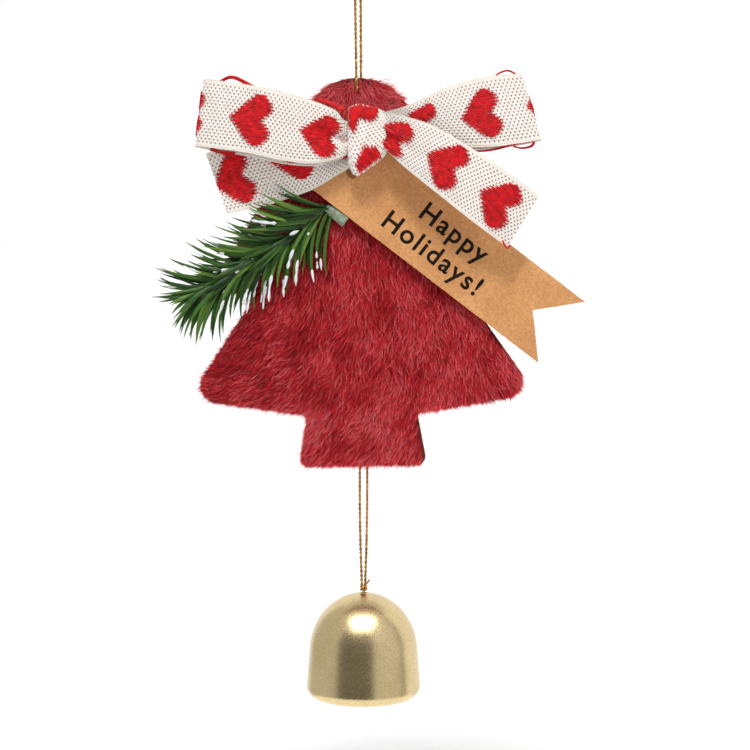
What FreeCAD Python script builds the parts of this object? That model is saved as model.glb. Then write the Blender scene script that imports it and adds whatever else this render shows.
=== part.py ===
"""Hanging Christmas ornament: a faux-fur tree with a ribbon bow, a card tag and a pine sprig,
and a small brass bell on a cord below it.

Millimetres, +Z up, front facing -Y. The origin is where a hook bears in the hanging loop.
"""
import FreeCAD, Part
import math
import os

os.makedirs("parts", exist_ok=True)
V = FreeCAD.Vector

# ---------------------------------------------------------------- driving dimensions
# Tree: a two-tier die-cut board with fur cloth on both faces, punched near its apex.
CORE_T = 3.0
FUR_T = 2.2
HOLE_R = 1.5
HOLE_X = -0.2
HOLE_Z = -54.9
HOLE_SAG = 0.7            # the cord bears on the upper edge of the hole
TREE_LEAN = 1.1           # degrees, foot towards +X
APEX_R = 17.4
# Half outline about the hole's centre, apex first: half width, height, corner radius.
TREE_HALF = [
    (35.2, -42.1, 30.0),
    (45.2, -58.5, 4.0),
    (32.7, -62.6, 2.0),
    (53.7, -93.7, 5.5),
    (17, -99.3, 1.2),
    (19.7, -115.3, 2.5),
]
TREE_PEAK = 25.2          # where the two straight flanks would meet

# Hanging loop
HANGER_D = 1.0
HANGER_FOLD = 2.0         # width of the fold over the hook
HANGER_STANDOFF = 5.0     # cord centre line to the mid-plane at the tree's apex
HOLE_EDGE_BEND = 0.9      # radius of the cord round the hole's front edge
END_KNOT_R = 1.7

# Bell and its cord
AXIS_X = 1.9
BELL_R = 17.65
BELL_DOME_R = 16.9
BELL_DOME_H = 18.4
BELL_WALL = 1.2
BELL_CROWN_Z = -210.2
BELL_RIM_Z = -241.9
RIM_CURL_R = 3.4
RIM_CURL_ANGLE = 60.0
RIM_CURL_Z = BELL_RIM_Z + 3.0
CROWN_HOLE_R = 1.3
BELL_CORD_D = 0.9
BELL_CORD_GAP = 2.3
POCKET_R = 2.2
POCKET_T = 1.5
POCKET_Z = -170.0
ANCHOR_R = 1.25
CROWN_KNOT_R = 1.25
CROWN_KNOT_Z = -208.8
LINK_R = 0.85
SOCKET_CLEAR = 0.1
STOP_KNOT_R = 1.9
CLAPPER_PIVOT_Z = -217.5
CLAPPER_LOOP_R = 1.2
CLAPPER_WIRE_D = 0.7
CLAPPER_EYE_R = 1.3
CLAPPER_BALL_R = 3.6
CLAPPER_BALL_Z = -234.5

# Ribbon bow: 20 mm woven ribbon
RIBBON_T = 0.7
BOW_TOP = -40.0
BOW_MIDDLE = -62.0
BOW_BOTTOM = -110.0
BOW_FRONT = -20.0
KNOT_FRONT = -14.6
KNOT_BACK = -7.3
KNOT_EDGE = 1.6

# Card tag
TAG_T = 0.5
TAG_BACK = -6.4
TAG_W = 23.6
TAG_L = 87.8
TAG_NOTCH = 11.2
TAG_ANGLE = -37.5
TAG_HOLE_R = 2.0
TAG_HOLE_INSET = 6.8
TAG_HOLE_AT = (-1.4, -79.8)

# Pine sprig
STEM_D = 1.5
TAPE_R = 1.25
TAPE_L = 4.0
NEEDLE_R = 0.42
NEEDLE_TIP_R = 0.12
NEEDLE_PITCH = 2.9
SNOW_R = 0.75
STEM_ROUTE = [
    (-6, -5.1, -91.8),
    (-9.3, -5.1, -90.5),
    (-17.6, -5.3, -97.6),
    (-31.1, -6.0, -106.5),
    (-41.4, -6.8, -113.9),
    (-48.4, -7.2, -116.8),
]

GLUE_R = 3.0
FUR_FACE = CORE_T / 2 + FUR_T


# ---------------------------------------------------------------- helpers
def export(node, shape):
    shape.exportStep("parts/%s.step" % node)
    print("%-24s %8.2f mm3, solids %d" % (node, shape.Volume, len(shape.Solids)))


def corner_arc(before, at, after, radius):
    """Tangent arc at a corner, or None where the path runs straight on."""
    back = (before - at).normalize()
    ahead = (after - at).normalize()
    half_turn = (math.pi - back.getAngle(ahead)) / 2
    if half_turn < 1e-4:
        return None
    trim = radius * math.tan(half_turn)
    middle = (back + ahead).normalize()
    centre = at + middle * (radius / math.cos(half_turn))
    return Part.Arc(at + back * trim, centre - middle * radius, at + ahead * trim)


def rounded_face(corners):
    """Face in the XZ plane from (x, z, radius) corners."""
    points = [V(x, 0, z) for x, z, r in corners]
    count = len(points)
    arcs = []
    for i in range(count):
        radius = corners[i][2]
        arc = corner_arc(points[i - 1], points[i], points[(i + 1) % count], radius) if radius else None
        arcs.append(arc)
    edges = []
    for i in range(count):
        arc = arcs[i]
        following = arcs[(i + 1) % count]
        start = arc.EndPoint if arc else points[i]
        end = following.StartPoint if following else points[(i + 1) % count]
        if arc:
            edges.append(arc.toShape())
        if start.distanceToPoint(end) > 1e-6:
            edges.append(Part.LineSegment(start, end).toShape())
    return Part.Face(Part.Wire(edges))


def slab(face, y_from, y_to):
    moved = face.copy()
    moved.translate(V(0, y_from, 0))
    return moved.extrude(V(0, y_to - y_from, 0))


def plan_slab(face, slant=0.0):
    """Turns an XZ face into the XY plane and extrudes it through the bow, leaning by slant in X."""
    low = BOW_BOTTOM - BOW_MIDDLE
    height = BOW_TOP - BOW_BOTTOM
    moved = face.copy()
    moved.rotate(V(0, 0, 0), V(1, 0, 0), -90)
    moved.translate(V(slant * low, 0, BOW_BOTTOM))
    return moved.extrude(V(slant * height, 0, height))


def front_window(outline):
    """The space in front of the tree that a piece of the bow may fill, given its front outline."""
    return slab(rounded_face(outline), BOW_FRONT, -FUR_FACE)


def disc(x, z, radius, y_from, y_to):
    return Part.makeCylinder(radius, y_to - y_from, V(x, y_from, z), V(0, 1, 0))


def ball(x, y, z, radius):
    return Part.makeSphere(radius, V(x, y, z))


def rod(start, end, radius):
    return Part.makeCylinder(radius, start.distanceToPoint(end), start, end - start)


def cord_tube(name, route, diameter, bends=None):
    """Straight runs joined by tangent arcs; bends gives the radius where a cord hugs an edge."""
    bends = bends or {}
    points = [V(*p) for p in route]
    edges = []
    start = points[0]
    radii = []
    for i in range(1, len(points) - 1):
        before, at, after = points[i - 1], points[i], points[i + 1]
        run = min(before.distanceToPoint(at), at.distanceToPoint(after))
        turn = math.pi - (before - at).getAngle(after - at)
        radius = bends.get(i, 0.45 * run / math.tan(turn / 2))
        arc = corner_arc(before, at, after, radius)
        edges.append(Part.LineSegment(start, arc.StartPoint).toShape())
        edges.append(arc.toShape())
        start = arc.EndPoint
        radii.append(round(radius, 2))
    edges.append(Part.LineSegment(start, points[-1]).toShape())
    path = Part.Wire(edges)
    circle = Part.Circle(points[0], points[1] - points[0], diameter / 2)
    tube = path.makePipeShell([Part.Wire([circle.toShape()])], True, False)
    ideal = math.pi * diameter ** 2 / 4 * path.Length
    print("%s: length %.1f, radii %s, volume %.2f for %.2f" % (name, path.Length, radii, tube.Volume, ideal))
    return tube


# ---------------------------------------------------------------- hanging loop
def hanger():
    cord_z = HOLE_Z + HOLE_SAG
    half = HANGER_FOLD / 2
    top = HANGER_D / 2
    route = [
        (HOLE_X, HANGER_STANDOFF + 0.6, cord_z),
        (HOLE_X, -HANGER_STANDOFF, cord_z),
        (-half, 0, top),
        (half, 0, top),
        (HOLE_X + 1.3, HANGER_STANDOFF + 0.2, cord_z + 1.2),
    ]
    cord = cord_tube("hanger_cord", route, HANGER_D, {1: HOLE_EDGE_BEND})
    knot = V(HOLE_X + 0.6, HANGER_STANDOFF + 0.6, cord_z + 0.3)
    knot_body = ball(knot.x, knot.y, knot.z, END_KNOT_R)
    for side in (-1, 1):
        tail_end = knot + V(2.2 * side, 0.4, -5.0)
        knot_body = knot_body.fuse(rod(knot, tail_end, HANGER_D / 2))
    export("hanger_cord", cord)
    export("hanger_end_knot", knot_body)


# ---------------------------------------------------------------- tree
def tree_face():
    right = [(x, z, r) for x, z, r in TREE_HALF]
    left = [(-x, z, r) for x, z, r in reversed(TREE_HALF)]
    face = rounded_face([(0, TREE_PEAK, APEX_R)] + right + left)
    face.rotate(V(0, 0, 0), V(0, 1, 0), -TREE_LEAN)
    face.translate(V(HOLE_X, 0, HOLE_Z))
    return face


def tree():
    face = tree_face()
    half = CORE_T / 2
    hole = disc(HOLE_X, HOLE_Z, HOLE_R, -2 * FUR_FACE, 2 * FUR_FACE)
    pocket = disc(AXIS_X, POCKET_Z, POCKET_R, -POCKET_T / 2, POCKET_T / 2)
    anchor_z = POCKET_Z + POCKET_R + ANCHOR_R
    anchor = ball(AXIS_X, 0, anchor_z, ANCHOR_R)
    core = slab(face, -half, half).cut(hole).cut(pocket).cut(anchor)
    export("tree_core", core)
    export("fur_front", slab(face, -FUR_FACE, -half).cut(hole))
    export("fur_back", slab(face, half, FUR_FACE).cut(hole))
    export("bell_cord_anchor_knot", anchor)


# ---------------------------------------------------------------- bow
def ribbon_loop(plan, slant, outline):
    """A closed ribbon band, seen from above as plan at mid-height, trimmed to its front outline."""
    outer = rounded_face(plan)
    inner = Part.Face(outer.OuterWire.makeOffset2D(-RIBBON_T))
    ring = outer.cut(inner)
    return plan_slab(ring, slant).common(front_window(outline))


def ribbon_tail(middle, outline):
    """A single ribbon end whose mid-surface follows (x, y, radius) points seen from above."""
    half = RIBBON_T / 2
    strip = [(x, y - half, r) for x, y, r in middle]
    strip += [(x, y + half, r) for x, y, r in reversed(middle)]
    return plan_slab(rounded_face(strip)).common(front_window(outline))


def bow():
    knot_outline = [
        (-2.4, -60.5, 1.5), (3.1, -59.9, 4.0), (8.3, -62.1, 1.5),
        (8.9, -75.3, 1.5), (0.1, -81.5, 1.2), (-2.4, -77.4, 1.5),
    ]
    knot = slab(rounded_face(knot_outline), KNOT_FRONT, KNOT_BACK)
    front_edges = [e for e in knot.Edges if abs(e.BoundBox.YMax - KNOT_FRONT) < 1e-3]
    knot = knot.makeFillet(KNOT_EDGE, front_edges)

    loop_left = ribbon_loop(
        [(0, -9.8, 0), (-28, -8.5, 40), (-47.5, -9.4, 2.2),
         (-47.5, -14.6, 2.6), (-28, -16.6, 30), (0, -12, 0)],
        0.153,
        [(0, -63.3, 0), (-21, -56.3, 40), (-49, -52.4, 0), (-52, -72.7, 0), (-14, -78.3, 20), (0, -74.8, 0)],
    )
    loop_right = ribbon_loop(
        [(4, -9.8, 0), (4, -12, 0), (28, -14.2, 30), (53.2, -13.4, 2.0), (53.2, -9.2, 2.0), (28, -8.3, 40)],
        -0.364,
        [(4, -63, 0), (4, -74.1, 0), (19.6, -74.6, 30), (54.4, -71.4, 1), (59, -69, 0), (52, -50.2, 0)],
    )
    tail_left = ribbon_tail(
        [(0, -7.9, 0), (-24, -7.7, 60), (-48, -7.75, 0)],
        [(0.1, -63.5, 0), (-43.1, -69.4, 0), (-46.2, -75.3, 0),
         (-39.3, -93.2, 0.6), (-16.1, -85.5, 60), (0.1, -77.7, 0)],
    )
    tail_right = ribbon_tail(
        [(6, -12.6, 0), (18, -16.0, 12), (42, -15.4, 30), (60, -12.6, 0)],
        [(6, -63, 0), (23.8, -67.2, 20), (39.5, -75, 40), (55.5, -87.5, 0.6), (45.6, -103.9, 0.6),
         (27.1, -91.1, 60), (14, -80.9, 20), (6, -73.2, 0)],
    )
    export("bow_knot", knot)
    export("bow_loop_left", loop_left.cut(knot))
    export("bow_loop_right", loop_right.cut(knot).cut(tail_right))
    export("bow_tail_left", tail_left.cut(knot))
    export("bow_tail_right", tail_right.cut(knot))
    export("bow_glue", disc(4.4, -62.0, GLUE_R, KNOT_BACK, -FUR_FACE))


# ---------------------------------------------------------------- tag
def tag():
    half = TAG_W / 2
    near = -TAG_HOLE_INSET
    far = TAG_L - TAG_HOLE_INSET
    corners = [
        (near, -half, 0.8), (near, half, 0.8),
        (far, half, 1.0), (far - TAG_NOTCH, 0, 1.0), (far, -half, 1.0),
    ]
    card = slab(rounded_face(corners), TAG_BACK - TAG_T, TAG_BACK)
    card = card.cut(disc(0, 0, TAG_HOLE_R, TAG_BACK - 2, TAG_BACK + 2))
    card.rotate(V(0, 0, 0), V(0, 1, 0), -TAG_ANGLE)
    card.translate(V(TAG_HOLE_AT[0], 0, TAG_HOLE_AT[1]))
    export("tag", card)
    export("tag_glue", disc(*TAG_HOLE_AT, GLUE_R, TAG_BACK, -FUR_FACE))


# ---------------------------------------------------------------- pine sprig
def stem_sample(distance):
    """Point and direction on the stem's route at a distance from its base."""
    left = distance
    for a, b in zip(STEM_ROUTE, STEM_ROUTE[1:]):
        start, end = V(*a), V(*b)
        run = start.distanceToPoint(end)
        if left <= run:
            return start + (end - start) * (left / run), (end - start).normalize()
        left -= run
    return V(*STEM_ROUTE[-1]), (V(*STEM_ROUTE[-1]) - V(*STEM_ROUTE[-2])).normalize()


def needle(root, direction, length):
    return Part.makeCone(NEEDLE_R, NEEDLE_TIP_R, length, root, direction)


def leaf_direction(along, spread, lift):
    """Turns the stem direction by spread in the front plane and lifts it towards the front."""
    turned = FreeCAD.Rotation(V(0, 1, 0), spread).multVec(V(along.x, 0, along.z).normalize())
    lifted = turned * math.cos(math.radians(lift)) + V(0, -math.sin(math.radians(lift)), 0)
    return lifted.normalize()


def sprig():
    stem = cord_tube("pine_stem", STEM_ROUTE, STEM_D)
    total = sum(V(*a).distanceToPoint(V(*b)) for a, b in zip(STEM_ROUTE, STEM_ROUTE[1:]))
    sides = {"upper": 1, "lower": -1}
    snow = []
    for side, sign in sides.items():
        needles = []
        for row, (lift, start, clear) in enumerate([(24, 7.0, 1.6), (4, 8.4, 1.3)]):
            count = int((total - start - 1.0) / NEEDLE_PITCH)
            for i in range(count):
                root, along = stem_sample(start + i * NEEDLE_PITCH)
                spread = sign * (36 + 4 * ((i + row) % 3))
                heading = leaf_direction(along, spread, lift)
                share = (i + 0.5) / count
                length = 12.5 + 5.0 * math.sin(math.pi * share) + 1.5 * ((i * 2 + row) % 3)
                begin = root + heading * clear
                needles.append(needle(begin, heading, length))
                if sign < 0 and row == 0 and i % 2 == 0:
                    tip = begin + heading * length
                    snow.append(ball(tip.x, tip.y, tip.z, SNOW_R))
        export("pine_needles_" + side, Part.makeCompound(needles))
    tip, along = stem_sample(total)
    tuft = []
    for spread in (-30, -20, -10, 0, 10, 20, 30):
        heading = leaf_direction(along, spread, 8)
        tuft.append(needle(tip + heading * 2.6, heading, 12.0 - abs(spread) / 15))
    base = V(*STEM_ROUTE[0])
    into = (V(*STEM_ROUTE[1]) - base).normalize()
    tape = rod(base - into * 0.6, base + into * (TAPE_L - 1.2), TAPE_R)
    export("pine_needles_tip", Part.makeCompound(tuft))
    export("pine_snow", Part.makeCompound(snow))
    export("pine_stem", stem.cut(tape))
    export("pine_base_tape", tape)
    glue = disc(-18.0, -96.8, 2.0, STEM_ROUTE[2][1], -FUR_FACE)
    export("sprig_glue", glue.cut(stem))


# ---------------------------------------------------------------- bell, its cord and clapper
def bell_cords():
    top = POCKET_Z + 0.9
    for node, side in (("bell_cord_left", -1), ("bell_cord_right", 1)):
        half = side * BELL_CORD_GAP / 2
        route = [
            (AXIS_X + half, 0, top),
            (AXIS_X + half * 1.02, 0.1, top - 12.0),
            (AXIS_X + half * 0.86, 0.2, top - 26.0),
            (AXIS_X + side * 0.47, 0, CROWN_KNOT_Z),
        ]
        export(node, cord_tube(node, route, BELL_CORD_D))
    knot = ball(AXIS_X, 0, CROWN_KNOT_Z, CROWN_KNOT_R)
    tail = rod(V(AXIS_X, 0, CROWN_KNOT_Z), V(AXIS_X + 2.0, -0.6, CROWN_KNOT_Z + 2.6), BELL_CORD_D / 3)
    export("crown_knot", knot.fuse(tail))


def rim_point(radius, angle):
    """Place on the rim's curl, angle in degrees below the horizontal."""
    turn = math.radians(angle)
    return V(BELL_R - RIM_CURL_R + radius * math.cos(turn), 0, RIM_CURL_Z - radius * math.sin(turn))


def bell_line(wall):
    """Elliptical dome from the axis outward, the slightly flared wall, then the rim's inward curl."""
    dome_r, dome_h = BELL_DOME_R - wall, BELL_DOME_H - wall
    centre = V(0, 0, BELL_CROWN_Z - BELL_DOME_H)
    side = centre + V(dome_r, 0, 0)
    dome = Part.ArcOfEllipse(Part.Ellipse(centre + V(0, 0, dome_h), side, centre), 0, math.pi / 2)
    curl = [rim_point(RIM_CURL_R - wall, share * RIM_CURL_ANGLE) for share in (0, 0.5, 1)]
    return dome.toShape(), Part.LineSegment(side, curl[0]).toShape(), Part.Arc(*curl).toShape()


def bell():
    depths = (0, BELL_WALL / 2, BELL_WALL)
    outer, middle, inner = (rim_point(RIM_CURL_R - depth, RIM_CURL_ANGLE) for depth in depths)
    turn = math.radians(RIM_CURL_ANGLE)
    lip = Part.Arc(outer, middle + V(-math.sin(turn), 0, -math.cos(turn)) * (BELL_WALL / 2), inner)
    crown = Part.LineSegment(V(0, 0, BELL_CROWN_Z), V(0, 0, BELL_CROWN_Z - BELL_WALL))
    edges = [*bell_line(0), lip.toShape(), *bell_line(BELL_WALL), crown.toShape()]
    section = Part.Face(Part.Wire(Part.sortEdges(edges)[0]))
    shell = section.revolve(V(0, 0, 0), V(0, 0, 1), 360)
    shell = shell.cut(Part.makeCylinder(CROWN_HOLE_R, 4, V(0, 0, BELL_CROWN_Z - 3)))
    shell.translate(V(AXIS_X, 0, 0))
    export("bell_shell", shell)

    seat = math.sqrt(STOP_KNOT_R ** 2 - CROWN_HOLE_R ** 2) + SOCKET_CLEAR
    stop_z = BELL_CROWN_Z - BELL_WALL - seat
    stop = ball(AXIS_X, 0, stop_z, STOP_KNOT_R)
    link = rod(V(AXIS_X, 0, stop_z), V(AXIS_X, 0, CROWN_KNOT_Z), LINK_R)
    link = link.cut(ball(AXIS_X, 0, CROWN_KNOT_Z, CROWN_KNOT_R + SOCKET_CLEAR)).cut(stop)
    bend = Part.makeTorus(CLAPPER_LOOP_R, CLAPPER_WIRE_D / 2, V(0, 0, 0), V(1, 0, 0))
    bend_z = CLAPPER_PIVOT_Z + CLAPPER_LOOP_R
    bend.translate(V(AXIS_X, 0, bend_z))
    lower = Part.makeBox(6, 6, 6, V(AXIS_X - 3, -3, bend_z - 6))
    loop = bend.common(lower)
    for side in (-1, 1):
        foot = V(AXIS_X, side * CLAPPER_LOOP_R, bend_z)
        loop = loop.fuse(rod(foot, V(AXIS_X, foot.y, stop_z), CLAPPER_WIRE_D / 2))
    export("inner_stop_knot", stop)
    export("bell_link_cord", link)
    export("clapper_loop", loop.cut(stop))


def clapper():
    eye_top = CLAPPER_PIVOT_Z + CLAPPER_WIRE_D + SOCKET_CLEAR / 2
    eye_z = eye_top - CLAPPER_EYE_R
    eye = Part.makeTorus(CLAPPER_EYE_R, CLAPPER_WIRE_D / 2, V(0, 0, 0), V(0, 1, 0))
    eye.translate(V(AXIS_X, 0, eye_z))
    shank = rod(V(AXIS_X, 0, eye_z - CLAPPER_EYE_R), V(AXIS_X, 0, CLAPPER_BALL_Z), CLAPPER_WIRE_D / 2)
    weight = ball(AXIS_X, 0, CLAPPER_BALL_Z, CLAPPER_BALL_R)
    export("clapper_wire", eye.fuse(shank).cut(weight))
    export("clapper_ball", weight)


def main():
    hanger()
    tree()
    bow()
    tag()
    sprig()
    bell_cords()
    bell()
    clapper()


main()
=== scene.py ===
"""Looks of the hanging tree ornament: fur, woven bow, card tag, pine sprig, gold cords and brass bell.

Lengths below are in millimetres and are turned into metres where meshes are made.
"""
import math

import bmesh
import bpy
import numpy as np
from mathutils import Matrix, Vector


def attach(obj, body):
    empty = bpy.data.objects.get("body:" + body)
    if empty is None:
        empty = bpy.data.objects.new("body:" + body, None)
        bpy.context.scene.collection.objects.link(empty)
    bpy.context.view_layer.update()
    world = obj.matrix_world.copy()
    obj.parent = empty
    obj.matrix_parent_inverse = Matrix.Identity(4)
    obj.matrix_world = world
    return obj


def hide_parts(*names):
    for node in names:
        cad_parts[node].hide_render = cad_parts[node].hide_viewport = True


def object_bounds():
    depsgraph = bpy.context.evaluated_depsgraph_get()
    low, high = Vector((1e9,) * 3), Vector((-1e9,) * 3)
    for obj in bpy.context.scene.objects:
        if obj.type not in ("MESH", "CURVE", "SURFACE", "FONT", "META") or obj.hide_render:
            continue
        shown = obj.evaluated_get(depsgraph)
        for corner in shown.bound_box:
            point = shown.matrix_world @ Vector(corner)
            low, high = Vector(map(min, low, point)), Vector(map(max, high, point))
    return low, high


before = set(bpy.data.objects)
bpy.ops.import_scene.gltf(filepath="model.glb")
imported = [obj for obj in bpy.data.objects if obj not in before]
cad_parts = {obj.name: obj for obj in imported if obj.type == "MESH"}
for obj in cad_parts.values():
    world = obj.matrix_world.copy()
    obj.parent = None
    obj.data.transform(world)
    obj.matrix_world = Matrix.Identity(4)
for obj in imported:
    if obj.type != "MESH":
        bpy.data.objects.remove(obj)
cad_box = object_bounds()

MM = 0.001
UV_NAME = "OFBake"
SEED = 11
CURVE_STEPS = 24

# Places and sizes repeated from the part's source
HOLE = (-0.2, -54.2)
AXIS_X = 1.9
HANGER_D = 1.0
BELL_CORD_D = 0.9
CROWN_KNOT = (AXIS_X, 0.0, -208.8)
POCKET_TOP = -169.1
TAG_HOLE = (-1.4, -79.8)
TAG_ANGLE = -37.5
TAG_FRONT = -6.9
ANCHOR_R = 1.25

# View
VIEW_X = 5.5
VIEW_Z = -142.2
VIEW_DISTANCE = 400.0
VIEW_WIDTH = 234.4


# ---------------------------------------------------------------- general helpers
def smooth_noise(x, z, scale, seed):
    """Smooth pseudo-random field in -1..1, from a few plane waves."""
    rng = np.random.default_rng(seed)
    total = np.zeros_like(x, dtype=float)
    waves = 7
    for _ in range(waves):
        angle = rng.uniform(0, math.tau)
        k = math.tau / (scale * rng.uniform(0.7, 1.5))
        total += np.sin(k * (x * math.cos(angle) + z * math.sin(angle)) + rng.uniform(0, math.tau))
    return np.clip(total / waves * 1.8, -1, 1)


def walked(points):
    """Distance along a line of points, at each of them."""
    return np.concatenate([[0], np.cumsum(np.linalg.norm(np.diff(points, axis=0), axis=1))])


def sampled(points, along, wanted):
    """Points of a line at the wanted distances; along is the distance at each of its points."""
    return np.stack([np.interp(wanted, along, points[:, k]) for k in range(points.shape[1])], axis=-1)


def through(points, shares):
    """Catmull-Rom curve through points, evaluated at shares 0..1 of its length."""
    points = np.asarray(points, dtype=float)
    padded = np.vstack([2 * points[0] - points[1], points, 2 * points[-1] - points[-2]])
    dense = []
    for p0, p1, p2, p3 in zip(padded, padded[1:], padded[2:], padded[3:]):
        for t in np.linspace(0, 1, CURVE_STEPS, endpoint=False):
            dense.append(0.5 * (2 * p1 + (p2 - p0) * t + (2 * p0 - 5 * p1 + 4 * p2 - p3) * t ** 2
                                + (3 * p1 - p0 - 3 * p2 + p3) * t ** 3))
    dense = np.array([*dense, padded[-2]])
    along = walked(dense)
    return sampled(dense, along, np.asarray(shares) * along[-1])


def direction(degrees):
    """Cosine and sine of an angle in degrees."""
    return math.cos(math.radians(degrees)), math.sin(math.radians(degrees))


def unit(vectors):
    length = np.linalg.norm(vectors, axis=-1, keepdims=True)
    return vectors / np.maximum(length, 1e-9)


def add_uv(mesh, name, uv):
    """A uv layer from one pair per vertex."""
    index = np.empty(len(mesh.loops), dtype=np.int32)
    mesh.loops.foreach_get("vertex_index", index)
    mesh.uv_layers.new(name=name).data.foreach_set("uv", np.asarray(uv, dtype=np.float32)[index].ravel())


def add_mesh(name, verts, faces, body, material, uv=None, smooth=True):
    """Mesh object from millimetre vertices; uv is one pair per vertex."""
    mesh = bpy.data.meshes.new(name)
    if isinstance(faces, np.ndarray):
        faces = faces.tolist()
    mesh.from_pydata((np.asarray(verts) * MM).tolist(), [], faces)
    if uv is not None:
        add_uv(mesh, UV_NAME, uv)
    if smooth:
        mesh.shade_smooth()
    mesh.materials.append(material)
    mesh.update()
    obj = bpy.data.objects.new(name, mesh)
    bpy.context.scene.collection.objects.link(obj)
    if body:
        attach(obj, body)
    return obj


def grid_faces(rows, columns, close_rows=False, close_columns=False):
    """Quads of a rows x columns vertex grid, optionally closed on itself."""
    row_ids = np.arange(rows if close_rows else rows - 1)
    column_ids = np.arange(columns if close_columns else columns - 1)
    r, c = np.meshgrid(row_ids, column_ids, indexing="ij")
    r2, c2 = (r + 1) % rows, (c + 1) % columns
    quads = np.stack([r * columns + c, r * columns + c2, r2 * columns + c2, r2 * columns + c], axis=-1)
    return quads.reshape(-1, 4)


def tube_rings(path, radii, sides, up=(0.3, 1.0, 0.2)):
    """Rings of vertices round a path, one radius per point."""
    path = np.asarray(path, dtype=float)
    tangent = unit(np.gradient(path, axis=0))
    side = unit(np.cross(tangent, np.asarray(up, dtype=float)))
    other = np.cross(side, tangent)
    angles = np.linspace(0, math.tau, sides, endpoint=False)
    radii = np.broadcast_to(np.asarray(radii, dtype=float), (len(path),))
    ring = side[:, None] * np.cos(angles)[None, :, None] + other[:, None] * np.sin(angles)[None, :, None]
    return path[:, None] + ring * radii[:, None, None]


def tube_mesh(name, tubes, tones, body, material, node=None, smooth=True):
    """One mesh from tubes of rings with closed ends, in place of a CAD node; tones gives each tube's u."""
    verts, faces, coords = [], [], []
    offset = 0
    for rings, tone in zip(tubes, np.broadcast_to(tones, (len(tubes),))):
        rows, sides = rings.shape[:2]
        count = rows * sides
        verts.append(np.vstack([rings.reshape(-1, 3), rings[0].mean(axis=0), rings[-1].mean(axis=0)]))
        faces.extend((grid_faces(rows, sides, close_columns=True) + offset).tolist())
        end = offset + count - sides
        for k in range(sides):
            after = (k + 1) % sides
            faces.append([offset + count, offset + after, offset + k])
            faces.append([offset + count + 1, end + k, end + after])
        v = np.concatenate([np.repeat(np.linspace(0.02, 0.98, rows), sides), [0.02, 0.98]])
        coords.append(np.stack([np.full(count + 2, tone), v], axis=-1))
        offset += count + 2
    made = add_mesh(name, np.vstack(verts), faces, body, material, np.vstack(coords), smooth)
    if node:
        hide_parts(node)
    return made


# ---------------------------------------------------------------- material helpers
class Look:
    """A procedural material with short ways to add the nodes used here."""

    def __init__(self, name, color, roughness, metallic=0.0, **sockets):
        self.material = bpy.data.materials.new(name)
        self.material.use_nodes = True
        self.nodes = self.material.node_tree.nodes
        self.links = self.material.node_tree.links
        self.bsdf = self.nodes["Principled BSDF"]
        self.bsdf.inputs["Base Color"].default_value = (*color, 1)
        self.bsdf.inputs["Roughness"].default_value = roughness
        self.bsdf.inputs["Metallic"].default_value = metallic
        for socket, value in sockets.items():
            self.bsdf.inputs[socket.replace("_", " ")].default_value = value

    def node(self, kind, **inputs):
        made = self.nodes.new(kind)
        for socket, value in inputs.items():
            made.inputs[socket.replace("_", " ")].default_value = value
        return made

    def feed(self, socket, value):
        """Links or sets an input."""
        if hasattr(value, "links"):
            self.links.new(value, socket)
        else:
            socket.default_value = value

    def place(self, stretch=(1, 1, 1)):
        """Object coordinates, scaled."""
        mapping = self.node("ShaderNodeMapping", Scale=stretch)
        self.links.new(self.nodes.new("ShaderNodeTexCoord").outputs["Object"], mapping.inputs["Vector"])
        return mapping.outputs["Vector"]

    def uv_parts(self, layer=UV_NAME):
        """Sockets X and Y of a uv layer."""
        source = self.nodes.new("ShaderNodeUVMap")
        source.uv_map = layer
        parts = self.nodes.new("ShaderNodeSeparateXYZ")
        self.links.new(source.outputs["UV"], parts.inputs["Vector"])
        return parts.outputs

    def noise(self, scale, detail=3.0, roughness=0.5, stretch=(1, 1, 1)):
        made = self.node("ShaderNodeTexNoise", Scale=scale, Detail=detail, Roughness=roughness)
        self.links.new(self.place(stretch), made.inputs["Vector"])
        return made.outputs["Fac"]

    def ramp(self, value, stops):
        made = self.nodes.new("ShaderNodeValToRGB")
        elements = made.color_ramp.elements
        while len(elements) < len(stops):
            elements.new(0.5)
        for element, (position, color) in zip(elements, stops):
            element.position = position
            element.color = (*color, 1)
        self.links.new(value, made.inputs["Fac"])
        return made.outputs["Color"]

    def mix(self, a, b, factor, mode="MIX"):
        made = self.nodes.new("ShaderNodeMix")
        made.data_type = "RGBA"
        made.blend_type = mode
        for number, value in ((0, factor), (6, a), (7, b)):
            self.feed(made.inputs[number], (*value, 1) if isinstance(value, tuple) else value)
        return made.outputs[2]

    def math(self, operation, *values):
        made = self.nodes.new("ShaderNodeMath")
        made.operation = operation
        for socket, value in zip(made.inputs, values):
            self.feed(socket, value)
        return made.outputs[0]

    def color(self, out):
        self.links.new(out, self.bsdf.inputs["Base Color"])

    def rough(self, value, low, high):
        made = self.node("ShaderNodeMapRange", To_Min=low, To_Max=high)
        self.links.new(value, made.inputs["Value"])
        self.links.new(made.outputs["Result"], self.bsdf.inputs["Roughness"])

    def bump(self, value, strength, distance):
        made = self.node("ShaderNodeBump", Strength=strength, Distance=distance)
        self.links.new(value, made.inputs["Height"])
        self.links.new(made.outputs["Normal"], self.bsdf.inputs["Normal"])


def grained(name, color, roughness, noise, stops, bump=None, **sockets):
    """A material whose tone and bump follow one noise; bump is its strength and its depth in metres."""
    look = Look(name, color, roughness, **sockets)
    grain = look.noise(*noise)
    look.color(look.ramp(grain, stops))
    if bump:
        look.bump(grain, *bump)
    return look.material


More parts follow.
